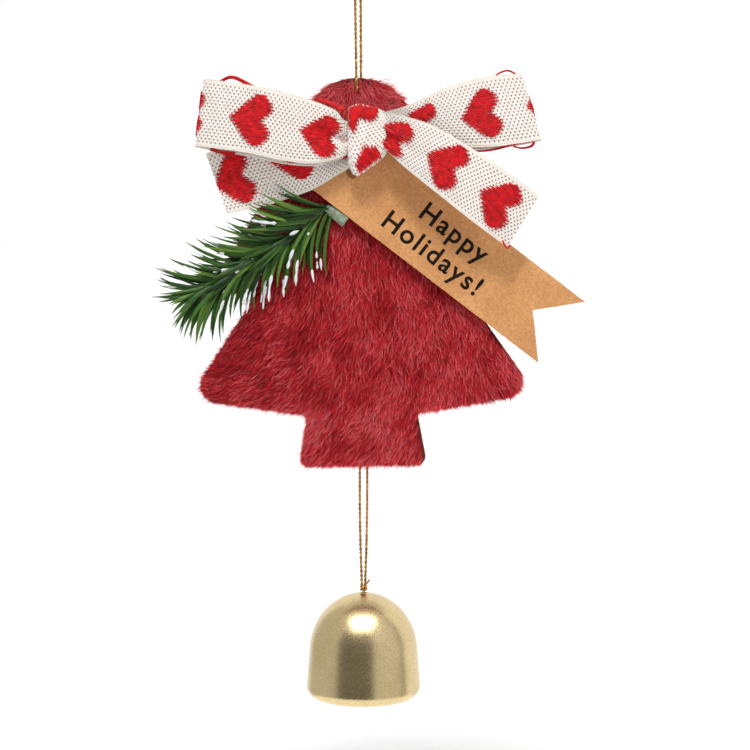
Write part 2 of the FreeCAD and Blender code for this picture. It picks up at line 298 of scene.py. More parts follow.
# ---------------------------------------------------------------- camera, light and stage
def add_camera():
    data = bpy.data.cameras.new("camera")
    data.sensor_width = 36.0
    data.lens = data.sensor_width * VIEW_DISTANCE / VIEW_WIDTH
    data.clip_start = 0.01
    camera = bpy.data.objects.new("camera", data)
    camera.location = (VIEW_X * MM, -VIEW_DISTANCE * MM, VIEW_Z * MM)
    camera.rotation_euler = (math.radians(90), 0, 0)
    bpy.context.scene.collection.objects.link(camera)
    bpy.context.scene.camera = camera


# Area lights: name, place, aim, size, all in metres, and watts
MIDDLE = (0, 0, -0.14)
LIGHTS = (
    ("softbox_front", (-0.08, -0.56, 0.72), MIDDLE, (0.22, 0.22), 6.2),
    ("softbox_right", (0.75, -0.5, 0.1), MIDDLE, (0.4, 0.6), 1.2),
    ("top_light", (0.0, 0.1, 0.75), MIDDLE, (0.7, 0.5), 2.5),
    ("back_light", (0.1, 0.42, 0.35), (0, 0.7, -0.2), (1.0, 0.4), 1.9),
)
WORLD_GLOW = 0.36

# Glowing studio cards that only glossy reflections show. Upright cards stand round the bell:
# name, glow, azimuths from the camera's side in degrees, top
CARD_RADIUS, CARD_FOOT, CARD_STEPS = 1100, -845, 16
UPRIGHT_CARDS = (
    ("camera_side_card", 0.16, (-54, 21), 675),
    ("left_card", 0.57, (-138, -54), 1275),
    ("right_card", 0.68, (21, 84), 1275),
    ("right_gap", 0.30, (84, 95), 1275),
    ("rear_card", 0.96, (95, 222), 1275),
)
# Level cards: name, glow, height, x range, y range
LEVEL_CARDS = (
    ("overhead_softbox", 5.5, 1150, (-660, 620), (-1280, -400)),
    ("ceiling_card", 0.66, 1275, (-1500, 1500), (-1500, 1500)),
    ("floor_card", 1.2, -1125, (-3000, 3000), (-3000, 3000)),
)

# Paper backdrop: a floor that curves up behind
PAPER_HALF, PAPER_RISE, PAPER_BEND, PAPER_BACK, PAPER_DROP = 1500.0, 1400.0, 300.0, 500.0, 60.0


def area_light(name, place, target, size, power):
    data = bpy.data.lights.new(name, "AREA")
    data.shape = "RECTANGLE"
    data.size, data.size_y = size
    data.energy = power
    light = bpy.data.objects.new(name, data)
    light.location = place
    x, y, z = np.subtract(target, place).astype(float)
    light.rotation_euler = (math.atan2(math.hypot(x, y), -z), 0, math.atan2(y, x) - math.pi / 2)
    light.visible_glossy = False
    bpy.context.scene.collection.objects.link(light)


def stage_sheet(name, rows, material):
    """A sheet of the stage, from rows of two corner points."""
    sheet = add_mesh(name, np.reshape(rows, (-1, 3)), grid_faces(len(rows), 2), None, material)
    return sheet


def reflection_card(name, glow, rows):
    look = Look(name, (0, 0, 0), 1.0, Emission_Strength=glow, Emission_Color=(1, 1, 1, 1))
    card = stage_sheet(name, rows, look.material)
    card.visible_camera = False
    card.visible_diffuse = False
    card.visible_shadow = False
    card.visible_transmission = False


def add_reflection_cards():
    for name, glow, azimuths, top in UPRIGHT_CARDS:
        turns = np.radians(np.linspace(*azimuths, CARD_STEPS))
        feet = [(AXIS_X + CARD_RADIUS * math.sin(a), -CARD_RADIUS * math.cos(a)) for a in turns]
        reflection_card(name, glow, [[(x, y, z) for z in (CARD_FOOT, top)] for x, y in feet])
    for name, glow, height, across, deep in LEVEL_CARDS:
        reflection_card(name, glow, [[(x, y, height) for y in deep] for x in across])


def add_backdrop():
    floor_z = cad_box[0][2] / MM - PAPER_DROP
    wall_y = PAPER_BACK + PAPER_BEND
    profile = [(-PAPER_HALF, floor_z)]
    profile += [(PAPER_BACK + PAPER_BEND * math.sin(a), floor_z + PAPER_BEND * (1 - math.cos(a)))
                for a in np.linspace(0, math.pi / 2, 13)]
    profile.append((wall_y, floor_z + PAPER_RISE))
    paper = grained("paper_backdrop", (0.93, 0.93, 0.93), 0.9, (30.0,),
                    [(0.3, (0.91, 0.91, 0.91)), (0.7, (0.94, 0.94, 0.94))])
    rows = [[(x, y, z) for x in (-PAPER_HALF, PAPER_HALF)] for y, z in profile]
    stage_sheet("floor_and_backdrop", rows, paper).visible_glossy = False


def add_stage():
    scene = bpy.context.scene
    scene.view_settings.view_transform = "Standard"
    scene.world = bpy.data.worlds.new("studio")
    scene.world.use_nodes = True
    background = scene.world.node_tree.nodes["Background"]
    background.inputs["Color"].default_value = (1, 1, 1, 1)
    background.inputs["Strength"].default_value = WORLD_GLOW
    add_backdrop()
    add_reflection_cards()
    for light in LIGHTS:
        area_light(*light)


# ---------------------------------------------------------------- cords
CORD_STEP = 0.12
PLY_LAY = 3.1               # cord diameters along one turn of the plies
THREADS = 4                 # in each ply
THREAD_TURN = -1.6          # turns of a thread for one of its ply
KNOT_SWING = 0.38


def spline_points(name, route):
    """Points along the smooth line of a route, read from its NURBS spline with no bevel."""
    curve = bpy.data.curves.new(name, "CURVE")
    curve.dimensions = "3D"
    curve.resolution_u = 16
    spline = curve.splines.new("NURBS")
    spline.points.add(len(route) - 1)
    for point, place in zip(spline.points, route):
        point.co = (*[c * MM for c in place], 1)
    spline.order_u = 3
    spline.use_endpoint_u = True
    carrier = bpy.data.objects.new(name, curve)
    bpy.context.scene.collection.objects.link(carrier)
    mesh = bpy.data.meshes.new_from_object(carrier)
    points = np.array([v.co[:] for v in mesh.vertices]) / MM
    bpy.data.objects.remove(carrier)
    return points


def resample(path, step):
    """Evenly spaced points along a path, and its length."""
    along = walked(path)
    count = max(8, int(along[-1] / step))
    return sampled(path, along, np.linspace(0, along[-1], count)), along[-1]


def steady_frame(path):
    """Two unit vectors across a path that turn as little as possible along it."""
    tangent = unit(np.gradient(path, axis=0))
    start = np.cross(tangent[0], (0.31, 0.2, 0.9))
    normals = [start / np.linalg.norm(start)]
    for t in tangent[1:]:
        n = normals[-1] - t * normals[-1].dot(t)
        normals.append(n / np.linalg.norm(n))
    normals = np.array(normals)
    return normals, np.cross(tangent, normals)


def twisted_cord(name, route, diameter, body, node, material, exit_at):
    """Two plies of fine thread twisted round the route's smooth line."""
    path, length = resample(spline_points(name + "_line", route), CORD_STEP)
    across, other = steady_frame(path)
    ply_turn = np.linspace(0, math.tau * length / (diameter * PLY_LAY), len(path))
    ply_r = diameter / 4
    tubes, tones = [], []
    for ply in range(2):
        angle = (ply_turn + math.pi * ply)[:, None]
        ply_across = across * np.cos(angle) + other * np.sin(angle)
        ply_other = other * np.cos(angle) - across * np.sin(angle)
        for thread in range(THREADS):
            inner = (THREAD_TURN * ply_turn + thread * math.tau / THREADS)[:, None]
            off = ply_across + 0.5 * (ply_across * np.cos(inner) + ply_other * np.sin(inner))
            tubes.append(tube_rings(path + ply_r * off, ply_r * 0.62, 6))
            tones.append(0.08 + 0.84 * ((ply * THREADS + thread) * 0.37 % 1.0))
    cord = tube_mesh(name, tubes, tones, body, material, node)
    tuple(c * MM for c in exit_at)
    [tuple(p * MM) for p in path[::4]]


def gold_thread_look():
    look = Look("gold_thread", (0.70, 0.43, 0.12), 0.34, 0.85)
    tone = look.noise(2.0, 2.0, stretch=(400, 400, 400))
    look.color(look.ramp(tone, [
        (0.3, (0.26, 0.10, 0.02)), (0.55, (0.62, 0.34, 0.07)), (0.75, (0.92, 0.62, 0.22))]))
    look.bump(look.noise(2.0, stretch=(1800, 1800, 1800)), 0.4, 0.0001)
    return look.material


def knot_strands(name, centre, radius, thread_r, body, node, material, tails=()):
    """A small hard knot: a strand wound over and under itself round a ball, with short tails."""
    turns = np.linspace(0, math.tau, 120)
    out = 1 + KNOT_SWING * np.cos(3 * turns)
    wound = np.stack([out * np.cos(2 * turns), out * np.sin(2 * turns), 0.75 * np.sin(3 * turns)], axis=-1)
    tubes = [tube_rings(np.asarray(centre) + wound * (radius - thread_r) / (1 + KNOT_SWING), thread_r, 8)]
    shares = np.linspace(0, 1, 20)
    tubes += [tube_rings(through([centre, *tail], shares), thread_r * (1 - 0.2 * shares), 8) for tail in tails]
    tube_mesh(name, tubes, 0.5, body, material, node)


def add_cords():
    gold = gold_thread_look()
    x, z = HOLE
    hanger = [
        (x, 5.6, z), (x, 1.5, z), (x, -3.6, z), (x, -4.9, z),
        (x - 0.02, -4.9, z + 1.4), (x - 0.05, -4.5, z + 5.5),
        (-0.95, -0.65, -6.0), (-1.0, -0.2, -1.2), (-1.0, 0, 0.5),
        (1.0, 0, 0.5), (1.0, 0.2, -1.2), (1.0, 0.65, -6.0),
        (1.1, 4.6, z + 5.0), (x + 1.3, 5.2, z + 1.2),
    ]
    twisted_cord("hanging_cord", hanger, HANGER_D, "hanger", "hanger_cord", gold, hanger[0])
    knot_x = x + 0.6
    tails = [[(knot_x + s * 1.3, 5.9, z - 2.2), (knot_x + s * 2.2, 6.0, z - 4.7)] for s in (-1, 1)]
    knot = (knot_x, 5.6, z + 0.3)
    knot_strands("hanging_cord_knot", knot, 1.75, 0.5, "hanger", "hanger_end_knot", gold, tails)
    for side, word in ((-1, "left"), (1, "right")):
        route = [
            (AXIS_X + side * 1.15, 0, POCKET_TOP), (AXIS_X + side * 1.173, 0.1, POCKET_TOP - 12.0),
            (AXIS_X + side * 0.989, 0.2, POCKET_TOP - 26.0), (AXIS_X + side * 0.47, 0, CROWN_KNOT[2]),
        ]
        twisted_cord("bell_cord_strand_" + word, route, BELL_CORD_D, "bell_cord", "bell_cord_" + word,
                     gold, route[0])
    tail = [(AXIS_X + 1.2, -0.5, CROWN_KNOT[2] + 1.8), (AXIS_X + 2.0, -0.6, CROWN_KNOT[2] + 2.8)]
    knot_strands("bell_cord_knot", CROWN_KNOT, 1.3, 0.36, "bell_cord", "crown_knot", gold, [tail])


# ---------------------------------------------------------------- fur
# How the pile is combed, seen from the front: place and angle from straight down, positive towards +X.
COMBING = [
    (0, -62, 5), (-9, -58, -45), (10, -57, 75), (-12, -66, -35), (14, -68, 35), (0, -76, 0),
    (-24, -92, -35), (24, -92, 18), (-40, -112, -62), (38, -112, 35), (-10, -108, -8), (10, -112, 4),
    (-48, -145, -80), (-36, -146, -62), (-24, -138, -48), (-8, -138, -22), (8, -138, -10), (22, -140, -4),
    (34, -140, 6), (47, -146, 38), (-12, -163, -42), (2, -163, -34), (15, -163, -26),
]
PILE_ROOT = 2.9           # distance of the pile's backing from the mid-plane
CORE_HALF = 1.5
HOLE_CLEAR = 1.7          # no strand starts nearer to the punched hole's middle
PILE_COUNT, QUICK_PILE_COUNT, PILE_BATCHES = 96000, 40000, 4
STRAND_PARTS = 3
STRAND_LENGTHS, STRAND_WIDTHS = (2.3, 4.6), (0.15, 0.27)
LOOSE_Z = -63             # above it the hairs are long and loose
LIT_TOP_Z = -62              # above it they are clearly lighter: a painted highlight on the top of the tree
TANGLED_Z = -60           # above it they are combed at random
TRUNK_Z = -150            # below it the pile is a little lighter: painted light on the trunk


def combing(x, z):
    """Shepard-weighted combing angle in radians, with a slow wander."""
    spots = np.array(COMBING, dtype=float)
    reach = (x[:, None] - spots[None, :, 0]) ** 2 + (z[:, None] - spots[None, :, 1]) ** 2
    weight = 1.0 / (reach + 25.0) ** 1.6
    angle = (weight * np.radians(spots[None, :, 2])).sum(axis=1) / weight.sum(axis=1)
    return angle + 0.26 * smooth_noise(x, z, 15.0, 3) + 0.16 * smooth_noise(x, z, 5.5, 4)


def node_corners(node):
    """Corners of a CAD node in millimetres."""
    return np.array([v.co[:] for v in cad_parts[node].data.vertices]) / MM


def tree_outline(node):
    """Outline loops (outer first) of a fur sheet's front face, as (x, z) points in millimetres."""
    verts = node_corners(node)
    plane = verts[:, 1].min()
    follow = {}
    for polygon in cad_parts[node].data.polygons:
        ids = list(polygon.vertices)
        if np.any(np.abs(verts[ids, 1] - plane) >= 0.01):
            continue
        corners = [tuple(np.round(verts[i, [0, 2]], 3)) for i in ids]
        for here, after in zip(corners, corners[1:] + corners[:1]):
            if (after, here) in follow:
                del follow[after, here]
            else:
                follow[here, after] = True
    follow = dict(follow.keys())
    loops = []
    while follow:
        loop = list(follow.popitem())
        while loop[-1] in follow:
            loop.append(follow.pop(loop[-1]))
        loops.append(np.array(loop[:-1]))
    return sorted(loops, key=lambda l: -np.ptp(l[:, 0]))


def inside(loop, x, z):
    hit = np.zeros(len(x), dtype=bool)
    for (ax, az), (bx, bz) in zip(loop, np.roll(loop, -1, axis=0)):
        if az != bz:
            hit ^= ((az > z) != (bz > z)) & (x < (bx - ax) * (z - az) / (bz - az) + ax)
    return hit


def distance_to_edge(loop, x, z, dx, dz):
    """How far each point can travel along its direction before it meets the outline."""
    nearest = np.full(len(x), 1e3)
    for (ax, az), (bx, bz) in zip(loop, np.roll(loop, -1, axis=0)):
        ex, ez = bx - ax, bz - az
        cross = dx * ez - dz * ex
        cross = np.where(np.abs(cross) < 1e-9, 1e-9, cross)
        t = ((ax - x) * ez - (az - z) * ex) / cross
        s = ((ax - x) * dz - (az - z) * dx) / cross
        nearest = np.where((t > 1e-4) & (s >= 0) & (s <= 1) & (t < nearest), t, nearest)
    return nearest


def fur_look():
    look = Look("fur_pile", (0.3, 0.02, 0.04), 0.42, Specular_IOR_Level=0.3, Specular_Tint=(1.0, 0.55, 0.55, 1),
                Sheen_Weight=0.04, Sheen_Roughness=0.4, Sheen_Tint=(0.9, 0.25, 0.28, 1))
    tone, place = look.uv_parts()[:2]
    # The palest, pinkish end of the tone ramp is a painted highlight on some strands.
    hair = look.ramp(tone, [
        (0.0, (0.13, 0.002, 0.004)), (0.30, (0.40, 0.006, 0.011)), (0.60, (0.74, 0.018, 0.028)),
        (0.82, (1.0, 0.052, 0.066)), (1.0, (1.0, 0.20, 0.22))])
    # Painted shade darkens each strand towards its root, and a painted highlight makes its tip paler and pinker.
    along = look.ramp(place, [
        (0.0, (0.10, 0.08, 0.08)), (0.45, (0.55, 0.50, 0.50)), (0.8, (1, 1, 1)), (1.0, (1.15, 1.4, 1.4))])
    look.color(look.mix(hair, along, 1.0, "MULTIPLY"))
    return look.material


def backing_shade_look():
    # The backing's own red, darkened with painted shade for the gaps between the strands.
    return grained("fur_backing", (0.12, 0.008, 0.015), 0.85, (900.0, 4.0),
                   [(0.3, (0.06, 0.003, 0.007)), (0.7, (0.17, 0.010, 0.022))], (0.8, 0.0006), Sheen_Weight=0.3)


def fur_backing(name, loops, side, node, material):
    """The woven backing: a closed pad with softened upper edges, open at the punched hole."""
    steps = ((0.0, CORE_HALF + 0.03), (0.0, PILE_ROOT - 0.6), (0.25, PILE_ROOT - 0.2), (0.8, PILE_ROOT))
    maker = bmesh.new()
    top_edges, bottom_edges = [], []
    for number, loop in enumerate(loops):
        ahead = unit(np.roll(loop, -1, axis=0) - np.roll(loop, 1, axis=0))
        inward = np.stack([-ahead[:, 1], ahead[:, 0]], axis=-1)
        probe = loop + 0.05 * inward
        within = inside(loop, probe[:, 0], probe[:, 1]).mean() >= 0.5
        if within == (number > 0):
            inward = -inward
        made = [[maker.verts.new((x * MM, side * depth * MM, z * MM)) for x, z in loop + inward * inset]
                for inset, depth in steps]
        after = [*range(1, len(loop)), 0]
        for low, high in zip(made, made[1:]):
            for i, j in enumerate(after):
                maker.faces.new((low[i], low[j], high[j], high[i]))
        for ring, edges in ((made[-1], top_edges), (made[0], bottom_edges)):
            edges.extend(maker.edges.get((ring[i], ring[j])) for i, j in enumerate(after))
    for edges in (top_edges, bottom_edges):
        bmesh.ops.triangle_fill(maker, edges=edges, use_beauty=True)
    bmesh.ops.recalc_face_normals(maker, faces=maker.faces)
    mesh = bpy.data.meshes.new(name)
    maker.to_mesh(mesh)
    maker.free()
    mesh.materials.append(material)
    pad = bpy.data.objects.new(name, mesh)
    bpy.context.scene.collection.objects.link(pad)
    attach(pad, "tree")
    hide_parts(node)


def scatter(loops, count, rng):
    """Random points on the sheet, clear of the punched hole."""
    low, high = loops[0].min(axis=0), loops[0].max(axis=0)
    x, z = (rng.uniform(low[k], high[k], count * 3) for k in range(2))
    hole = loops[1].mean(axis=0)
    keep = inside(loops[0], x, z) & (np.hypot(x - hole[0], z - hole[1]) > HOLE_CLEAR)
    return x[keep][:count], z[keep][:count]


def strand_mesh(name, strands, side, material, rng):
    """Flat tapered blades that rise from the backing, bend over and lie along the combing.

    strands has columns x, z, angle, length, lift, width and tone.
    """
    x, z, angle, length, lift, width, tone = strands.T
    share = np.linspace(0, 1, STRAND_PARTS + 1)
    rise = np.sin(np.pi * share ** 0.75 * 0.62)
    curl = rng.normal(0, 0.10, len(x))
    roll = rng.normal(0, 0.55, len(x))
    verts = np.empty((len(x), STRAND_PARTS + 1, 2, 3))
    for k, s in enumerate(share):
        bent = angle + curl * s * 2
        dx, dz = np.sin(bent), -np.cos(bent)
        half = width * (1 - 0.82 * s) / 2
        flat = np.cos(roll) * half
        for e, sign in enumerate((-1, 1)):
            verts[:, k, e, 0] = x + dx * length * s + sign * dz * flat
            verts[:, k, e, 1] = side * (PILE_ROOT - 0.1 + lift * rise[k] - sign * np.sin(roll) * half)
            verts[:, k, e, 2] = z + dz * length * s - sign * dx * flat
    quad = np.array([[2 * k, 2 * k + 1, 2 * k + 3, 2 * k + 2] for k in range(STRAND_PARTS)])
    faces = (np.arange(len(x))[:, None, None] * (STRAND_PARTS + 1) * 2 + quad).reshape(-1, 4)
    uv = np.empty((len(x), STRAND_PARTS + 1, 2, 2))
    uv[..., 0] = tone[:, None, None]
    uv[..., 1] = (0.02 + 0.96 * share)[:, None]
    add_mesh(name, verts.reshape(-1, 3), faces, "tree", material, uv.reshape(-1, 2))


def combed_strands(loops, count, rng):
    """One row of x, z, angle, length, lift, width and tone for each strand of one side."""
    x, z = scatter(loops, count, rng)
    loose = z > LOOSE_Z
    angle = combing(x, z) + rng.normal(0, 1, len(x)) * np.where(z > TANGLED_Z, 0.60, 0.13)
    locks = smooth_noise(x * np.cos(angle) + z * np.sin(angle), (z - x * np.sin(angle)) * 0.3, 2.6, 21)
    length = rng.uniform(*STRAND_LENGTHS, len(x)) + 0.5 * locks
    room = distance_to_edge(loops[0], x, z, np.sin(angle), -np.cos(angle))
    longer = loose * rng.gamma(1.2, 0.8, len(x))
    length = np.minimum(length + longer, room + rng.gamma(1.6, np.where(loose, 1.0, 0.42)))
    length = np.maximum(length, 0.8)
    lift = (0.80 + 0.60 * rng.random(len(x)) + 0.40 * locks) * np.clip(length / 3.0, 0.35, 1.0)
    # Painted light and shade: the pile lighter to the right and darker to the left, and lighter on the trunk and
    # the top, where the combed pile catches the light.
    painted_light = 0.10 * np.clip(x / 45.0, -1, 1) + 0.12 * (z < TRUNK_Z) + 0.24 * (z > LIT_TOP_Z)
    shade = 0.46 + painted_light + 0.36 * locks + 0.16 * smooth_noise(x, z, 16.0, 31)
    tone = np.clip(shade + rng.normal(0, 0.24, len(x)), 0.02, 0.98)
    width = rng.uniform(*STRAND_WIDTHS, len(x))
    return np.stack([x, z, angle, length, lift, width, tone], axis=-1)


def add_fur():
    pile, backing = fur_look(), backing_shade_look()
    for side, word in ((-1, "front"), (1, "back")):
        rng = np.random.default_rng(SEED + side)
        loops = tree_outline("fur_" + word)
        fur_backing("fur_backing_" + word, loops, side, "fur_" + word, backing)
        strands = combed_strands(loops, PILE_COUNT, rng)
        for part in range(PILE_BATCHES):
            strand_mesh(f"fur_pile_{word}_{part + 1}", strands[part::PILE_BATCHES], side, pile, rng)


# ---------------------------------------------------------------- ribbon bow
RIBBON_W = 20.0
HOLE_STEP = 1.35            # between pinholes along the ribbon
HOLE_ROWS = 0.95            # between rows of pinholes across it
SELVAGE = 1.2
EDGE_CORD = 0.62            # between the cords of the plain edge
PICK = 0.9                  # between its crossing threads
WEAVE_STEP, QUICK_WEAVE_STEP = 0.2, 0.42
GATHER_REACH, CREASE_REACH = 9.0, 13.0
CREASE_WIDTH = 0.13         # as a share of the ribbon's width
PLEATS, PLEAT_DEPTH = 2.4, 0.3
RIPPLE = 0.35
YARN_R = 0.26
WEAVE_UV = "Weave"
WEAVE_UV_MM = 10.0
FLOAT_PITCH = 0.475
FLOAT_POINTS = 11

# Half of the woven heart's outline, from its tip: (place across, place along) in mm
HEART_TIP_SIDE = ((0, 0), (2.6, 2.2), (5.2, 4.6), (7.3, 7.0))
HEART_LOBE_SIDE = ((0, 9.4), (1.0, 10.2), (2.9, 12.0), (5.2, 11.8), (7.3, 9.4))
HEART_MIDDLE = 6.0
HEART_REPEAT = 20.4


class Strip:
    """A cloth surface with points over share (along it) and side (across it), both 0..1."""

    weave_turn = 0.0
    front = (0.0, 1.0)
    front_sides = (0.0, 1.0)

    def measure(self):
        """Sets the length along the middle, and which way the outer face looks."""
        middle = self.point(np.linspace(0, 1, 300), np.full(300, 0.5))
        self.length = np.linalg.norm(np.diff(middle, axis=0), axis=1).sum()
        self.outer = 1.0
        self.outer = -np.sign(self.normal(np.array([sum(self.front) / 2]), np.array([0.5]))[0, 1])

    def normal(self, share, side):
        step = 0.004
        along = self.point(share + step, side) - self.point(share - step, side)
        across = self.point(share, side + step) - self.point(share, side - step)
        return unit(np.cross(along, across)) * self.outer

    def weave(self, share, side):
        """Places in the weave, in mm along and across."""
        u, v = share * self.length, side * RIBBON_W
        c, s = math.cos(self.weave_turn), math.sin(self.weave_turn)
        return u * c - v * s, u * s + v * c

    def find(self, x, z):
        """share and side of the front points seen at x, z; the share of those off the front is nan."""
        s, t = np.meshgrid(np.linspace(*self.front, 160), np.linspace(*self.front_sides, 50), indexing="ij")
        spots = self.point(s, t)
        gap = (spots[None, ..., 0] - x[:, None, None]) ** 2 + (spots[None, ..., 2] - z[:, None, None]) ** 2
        nearest = gap.reshape(len(x), -1).argmin(axis=1)
        share, side = s.ravel()[nearest], t.ravel()[nearest]
        step = 0.002
        for _ in range(4):
            here = self.point(share, side)
            ds = (self.point(share + step, side) - here) / step
            dt = (self.point(share, side + step) - here) / step
            determinant = ds[:, 0] * dt[:, 2] - ds[:, 2] * dt[:, 0]
            determinant = np.where(np.abs(determinant) < 1.0, 1.0, determinant)
            ex, ez = x - here[:, 0], z - here[:, 2]
            share = share + np.clip((ex * dt[:, 2] - ez * dt[:, 0]) / determinant, -0.02, 0.02)
            side = side + np.clip((ez * ds[:, 0] - ex * ds[:, 2]) / determinant, -0.05, 0.05)
        here = self.point(share, side)
        missed = np.hypot(here[:, 0] - x, here[:, 2] - z) > 0.3
        missed |= (side < 0.02) | (side > 0.98) | (share < self.front[0]) | (share > self.front[1])
        share[missed] = np.nan
        return share, side


class Ribbon(Strip):
    """A loop or tail: a plan line of (x, y) points, and the heights of its two edges over x.

    slant leans the far end; looped says that the line goes out in front and comes back behind;
    valley is (side, depth) of the crease that runs into the knot.
    """

    def __init__(self, spine, top, bottom, slant, looped, cup, valley):
        self.shares = np.linspace(0, 1, 500)
        self.line = through(spine, self.shares)
        dense = [through(edge, np.linspace(0, 1, 300)) for edge in (top, bottom)]
        self.edges = [edge[np.argsort(edge[:, 0])] for edge in dense]
        self.slant, self.looped, self.cup, self.valley = slant, looped, cup, valley
        self.front = (0.0, 0.49) if looped else (0.0, 1.0)
        self.measure()

    def point(self, share, side):
        share = np.clip(share, 0, 1)
        x, y = (np.interp(share, self.shares, self.line[:, k]) for k in range(2))
        top, bottom = (np.interp(x, edge[:, 0], edge[:, 1]) for edge in self.edges)
        z = bottom + (top - bottom) * side
        weight = np.sin(np.pi * share) ** 0.7 if self.looped else share
        facing = np.cos(np.pi * share) if self.looped else 1.0
        away = np.abs(x - self.line[0, 0])
        gather = np.exp(-(away / GATHER_REACH) ** 2)
        off_crease = (side - self.valley[0]) / CREASE_WIDTH
        crease = self.valley[1] * np.exp(-off_crease ** 2 - (away / CREASE_REACH) ** 2)
        pleats = PLEAT_DEPTH * gather * np.cos(side * math.tau * PLEATS + 0.6)
        cup = self.cup * (1 - (2 * side - 1) ** 2) * (1 - gather)
        ripple = RIPPLE * np.sin(share * 9.0 + side * 2.0) * (1 - gather)
        y = y - facing * (cup - crease - pleats) + ripple * np.abs(facing)
        return np.stack([x + self.slant * weight * (z - (top + bottom) / 2), y, z], axis=-1)


class KnotBand(Strip):
    """The ribbon wrapped once round the middle, both its edges tucked under.

    share goes round it from the top, down the front and up behind.
    """

    across = ((3.6, 1.3), (1.2, 1.2), (0.0, 0.6), (0.7, 0.0), (3.4, -0.25), (5.7, -0.1), (8.2, -0.25),
              (10.8, 0.0), (11.5, 0.6), (10.3, 1.2), (7.9, 1.3))
    front = (0.0, 0.5)
    front_sides = (0.22, 0.78)
    weave_turn = 0.42

    def __init__(self, left, top, bottom, centre_y, depth):
        self.left = left
        self.top, self.bottom = np.array(top), np.array(bottom)
        self.centre_y, self.depth = centre_y, depth
        self.places = np.linspace(0, 1, 200)
        self.profile = through(self.across, self.places)
        self.even = self.turns = np.linspace(0, 1, 400)
        ring = self.point(self.turns[:-1], np.full(399, 0.5))
        round_it = walked(np.vstack([ring, ring[:1]]))
        self.even = round_it / round_it[-1]
        self.measure()

    def point(self, share, side):
        share = np.interp(np.mod(share, 1.0), self.even, self.turns)
        c, s = -np.sin(math.tau * share), np.cos(math.tau * share)
        forward = np.sign(c) * np.abs(c) ** 0.5
        upward = np.sign(s) * np.abs(s) ** 0.62
        across, inset = (np.interp(side, self.places, self.profile[:, k]) for k in range(2))
        x = self.left + across
        top, bottom = (np.interp(x, edge[:, 0], edge[:, 1]) for edge in (self.top, self.bottom))
        y = self.centre_y + (self.depth - inset) * forward
        return np.stack([x, y, (top + bottom) / 2 + upward * ((top - bottom) / 2 - inset)], axis=-1)


def woven_look():
    """Cream yarns with pinholes between them; the shading repeats the relief of the mesh: the pinholes' dark pink
    is painted shade in the pits, tinted by the red yarns behind.
    """
    look = Look("woven_ribbon", (0.86, 0.80, 0.74), 0.82, Sheen_Weight=0.15)
    places = look.uv_parts(WEAVE_UV)
    waves = [look.math("SINE", look.math("MULTIPLY", places[axis], math.tau * WEAVE_UV_MM / pitch))
             for axis, pitch in (("X", HOLE_STEP), ("Y", 2 * HOLE_ROWS))]
    # Painted shade in the pinholes, tinted pink by the red yarns showing through from behind.
    cloth = look.ramp(look.math("MULTIPLY", *waves), [
        (0.0, (0.96, 0.92, 0.87)), (0.34, (0.92, 0.87, 0.81)),
        (0.60, (0.70, 0.50, 0.46)), (0.85, (0.32, 0.14, 0.13))])
    plain = look.node("ShaderNodeAttribute")
    plain.attribute_name = "plain"
    edge = look.mix(cloth, (0.93, 0.88, 0.80), plain.outputs["Fac"])
    warm = look.ramp(look.noise(260.0, 2.0), [(0.3, (0.96, 0.94, 0.91)), (0.7, (1, 1, 1))])
    look.color(look.mix(edge, warm, 1.0, "MULTIPLY"))
    return look.material


def red_yarn_look():
    look = Look("red_yarn", (0.62, 0.006, 0.02), 0.6, Sheen_Weight=0.04, Specular_IOR_Level=0.25)
    look.color(look.ramp(look.noise(700.0, 2.0), [(0.3, (0.44, 0.001, 0.004)), (0.7, (0.86, 0.003, 0.012))]))
    look.bump(look.noise(2600.0, 2.0), 0.5, 0.0002)
    return look.material


def ribbon_mesh(name, strip, node, material, closed):
    """The woven sheet, with the relief of its threads, pinholes and plain edges."""
    step = WEAVE_STEP
    rows, columns = int(strip.length / step), int(RIBBON_W / step)
    s, t = np.meshgrid(np.linspace(0, 1, rows, endpoint=not closed), np.linspace(0, 1, columns), indexing="ij")
    u, v = strip.weave(s, t)
    holes = np.sin(math.tau * u / HOLE_STEP) * np.sin(math.pi * v / HOLE_ROWS)
    threads = 0.12 * np.cos(math.tau * v / HOLE_ROWS) - 0.28 * np.clip((holes - 0.3) / 0.7, 0, 1)
    edge = np.minimum(t, 1 - t) * RIBBON_W
    plain = np.clip((SELVAGE - edge) / 0.5, 0, 1)
    cords = 0.12 * np.cos(math.tau * edge / EDGE_CORD) + 0.05 * np.cos(math.tau * u / PICK)
    relief = threads * (1 - plain) + cords * plain
    verts = strip.point(s, t) + strip.normal(s, t) * relief[..., None]
    verts[..., 2] += 0.10 * np.sin(math.tau * u / PICK) * np.exp(-((edge / 0.5) ** 2)) * np.sign(t - 0.5)
    uv = np.stack([s * 0.98 + 0.01, t * 0.9 + 0.05], axis=-1).reshape(-1, 2)
    sheet = add_mesh(name, verts.reshape(-1, 3), grid_faces(rows, columns, close_rows=closed), "tree",
                     material, uv)
    places = np.stack([u.ravel(), v.ravel()], axis=-1) / WEAVE_UV_MM
    add_uv(sheet.data, WEAVE_UV, places)
    sheet.data.uv_layers.active = sheet.data.uv_layers[UV_NAME]
    marks = sheet.data.attributes.new("plain", "FLOAT", "POINT")
    marks.data.foreach_set("value", plain.ravel().astype(np.float32))
    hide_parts(node)
    return sheet


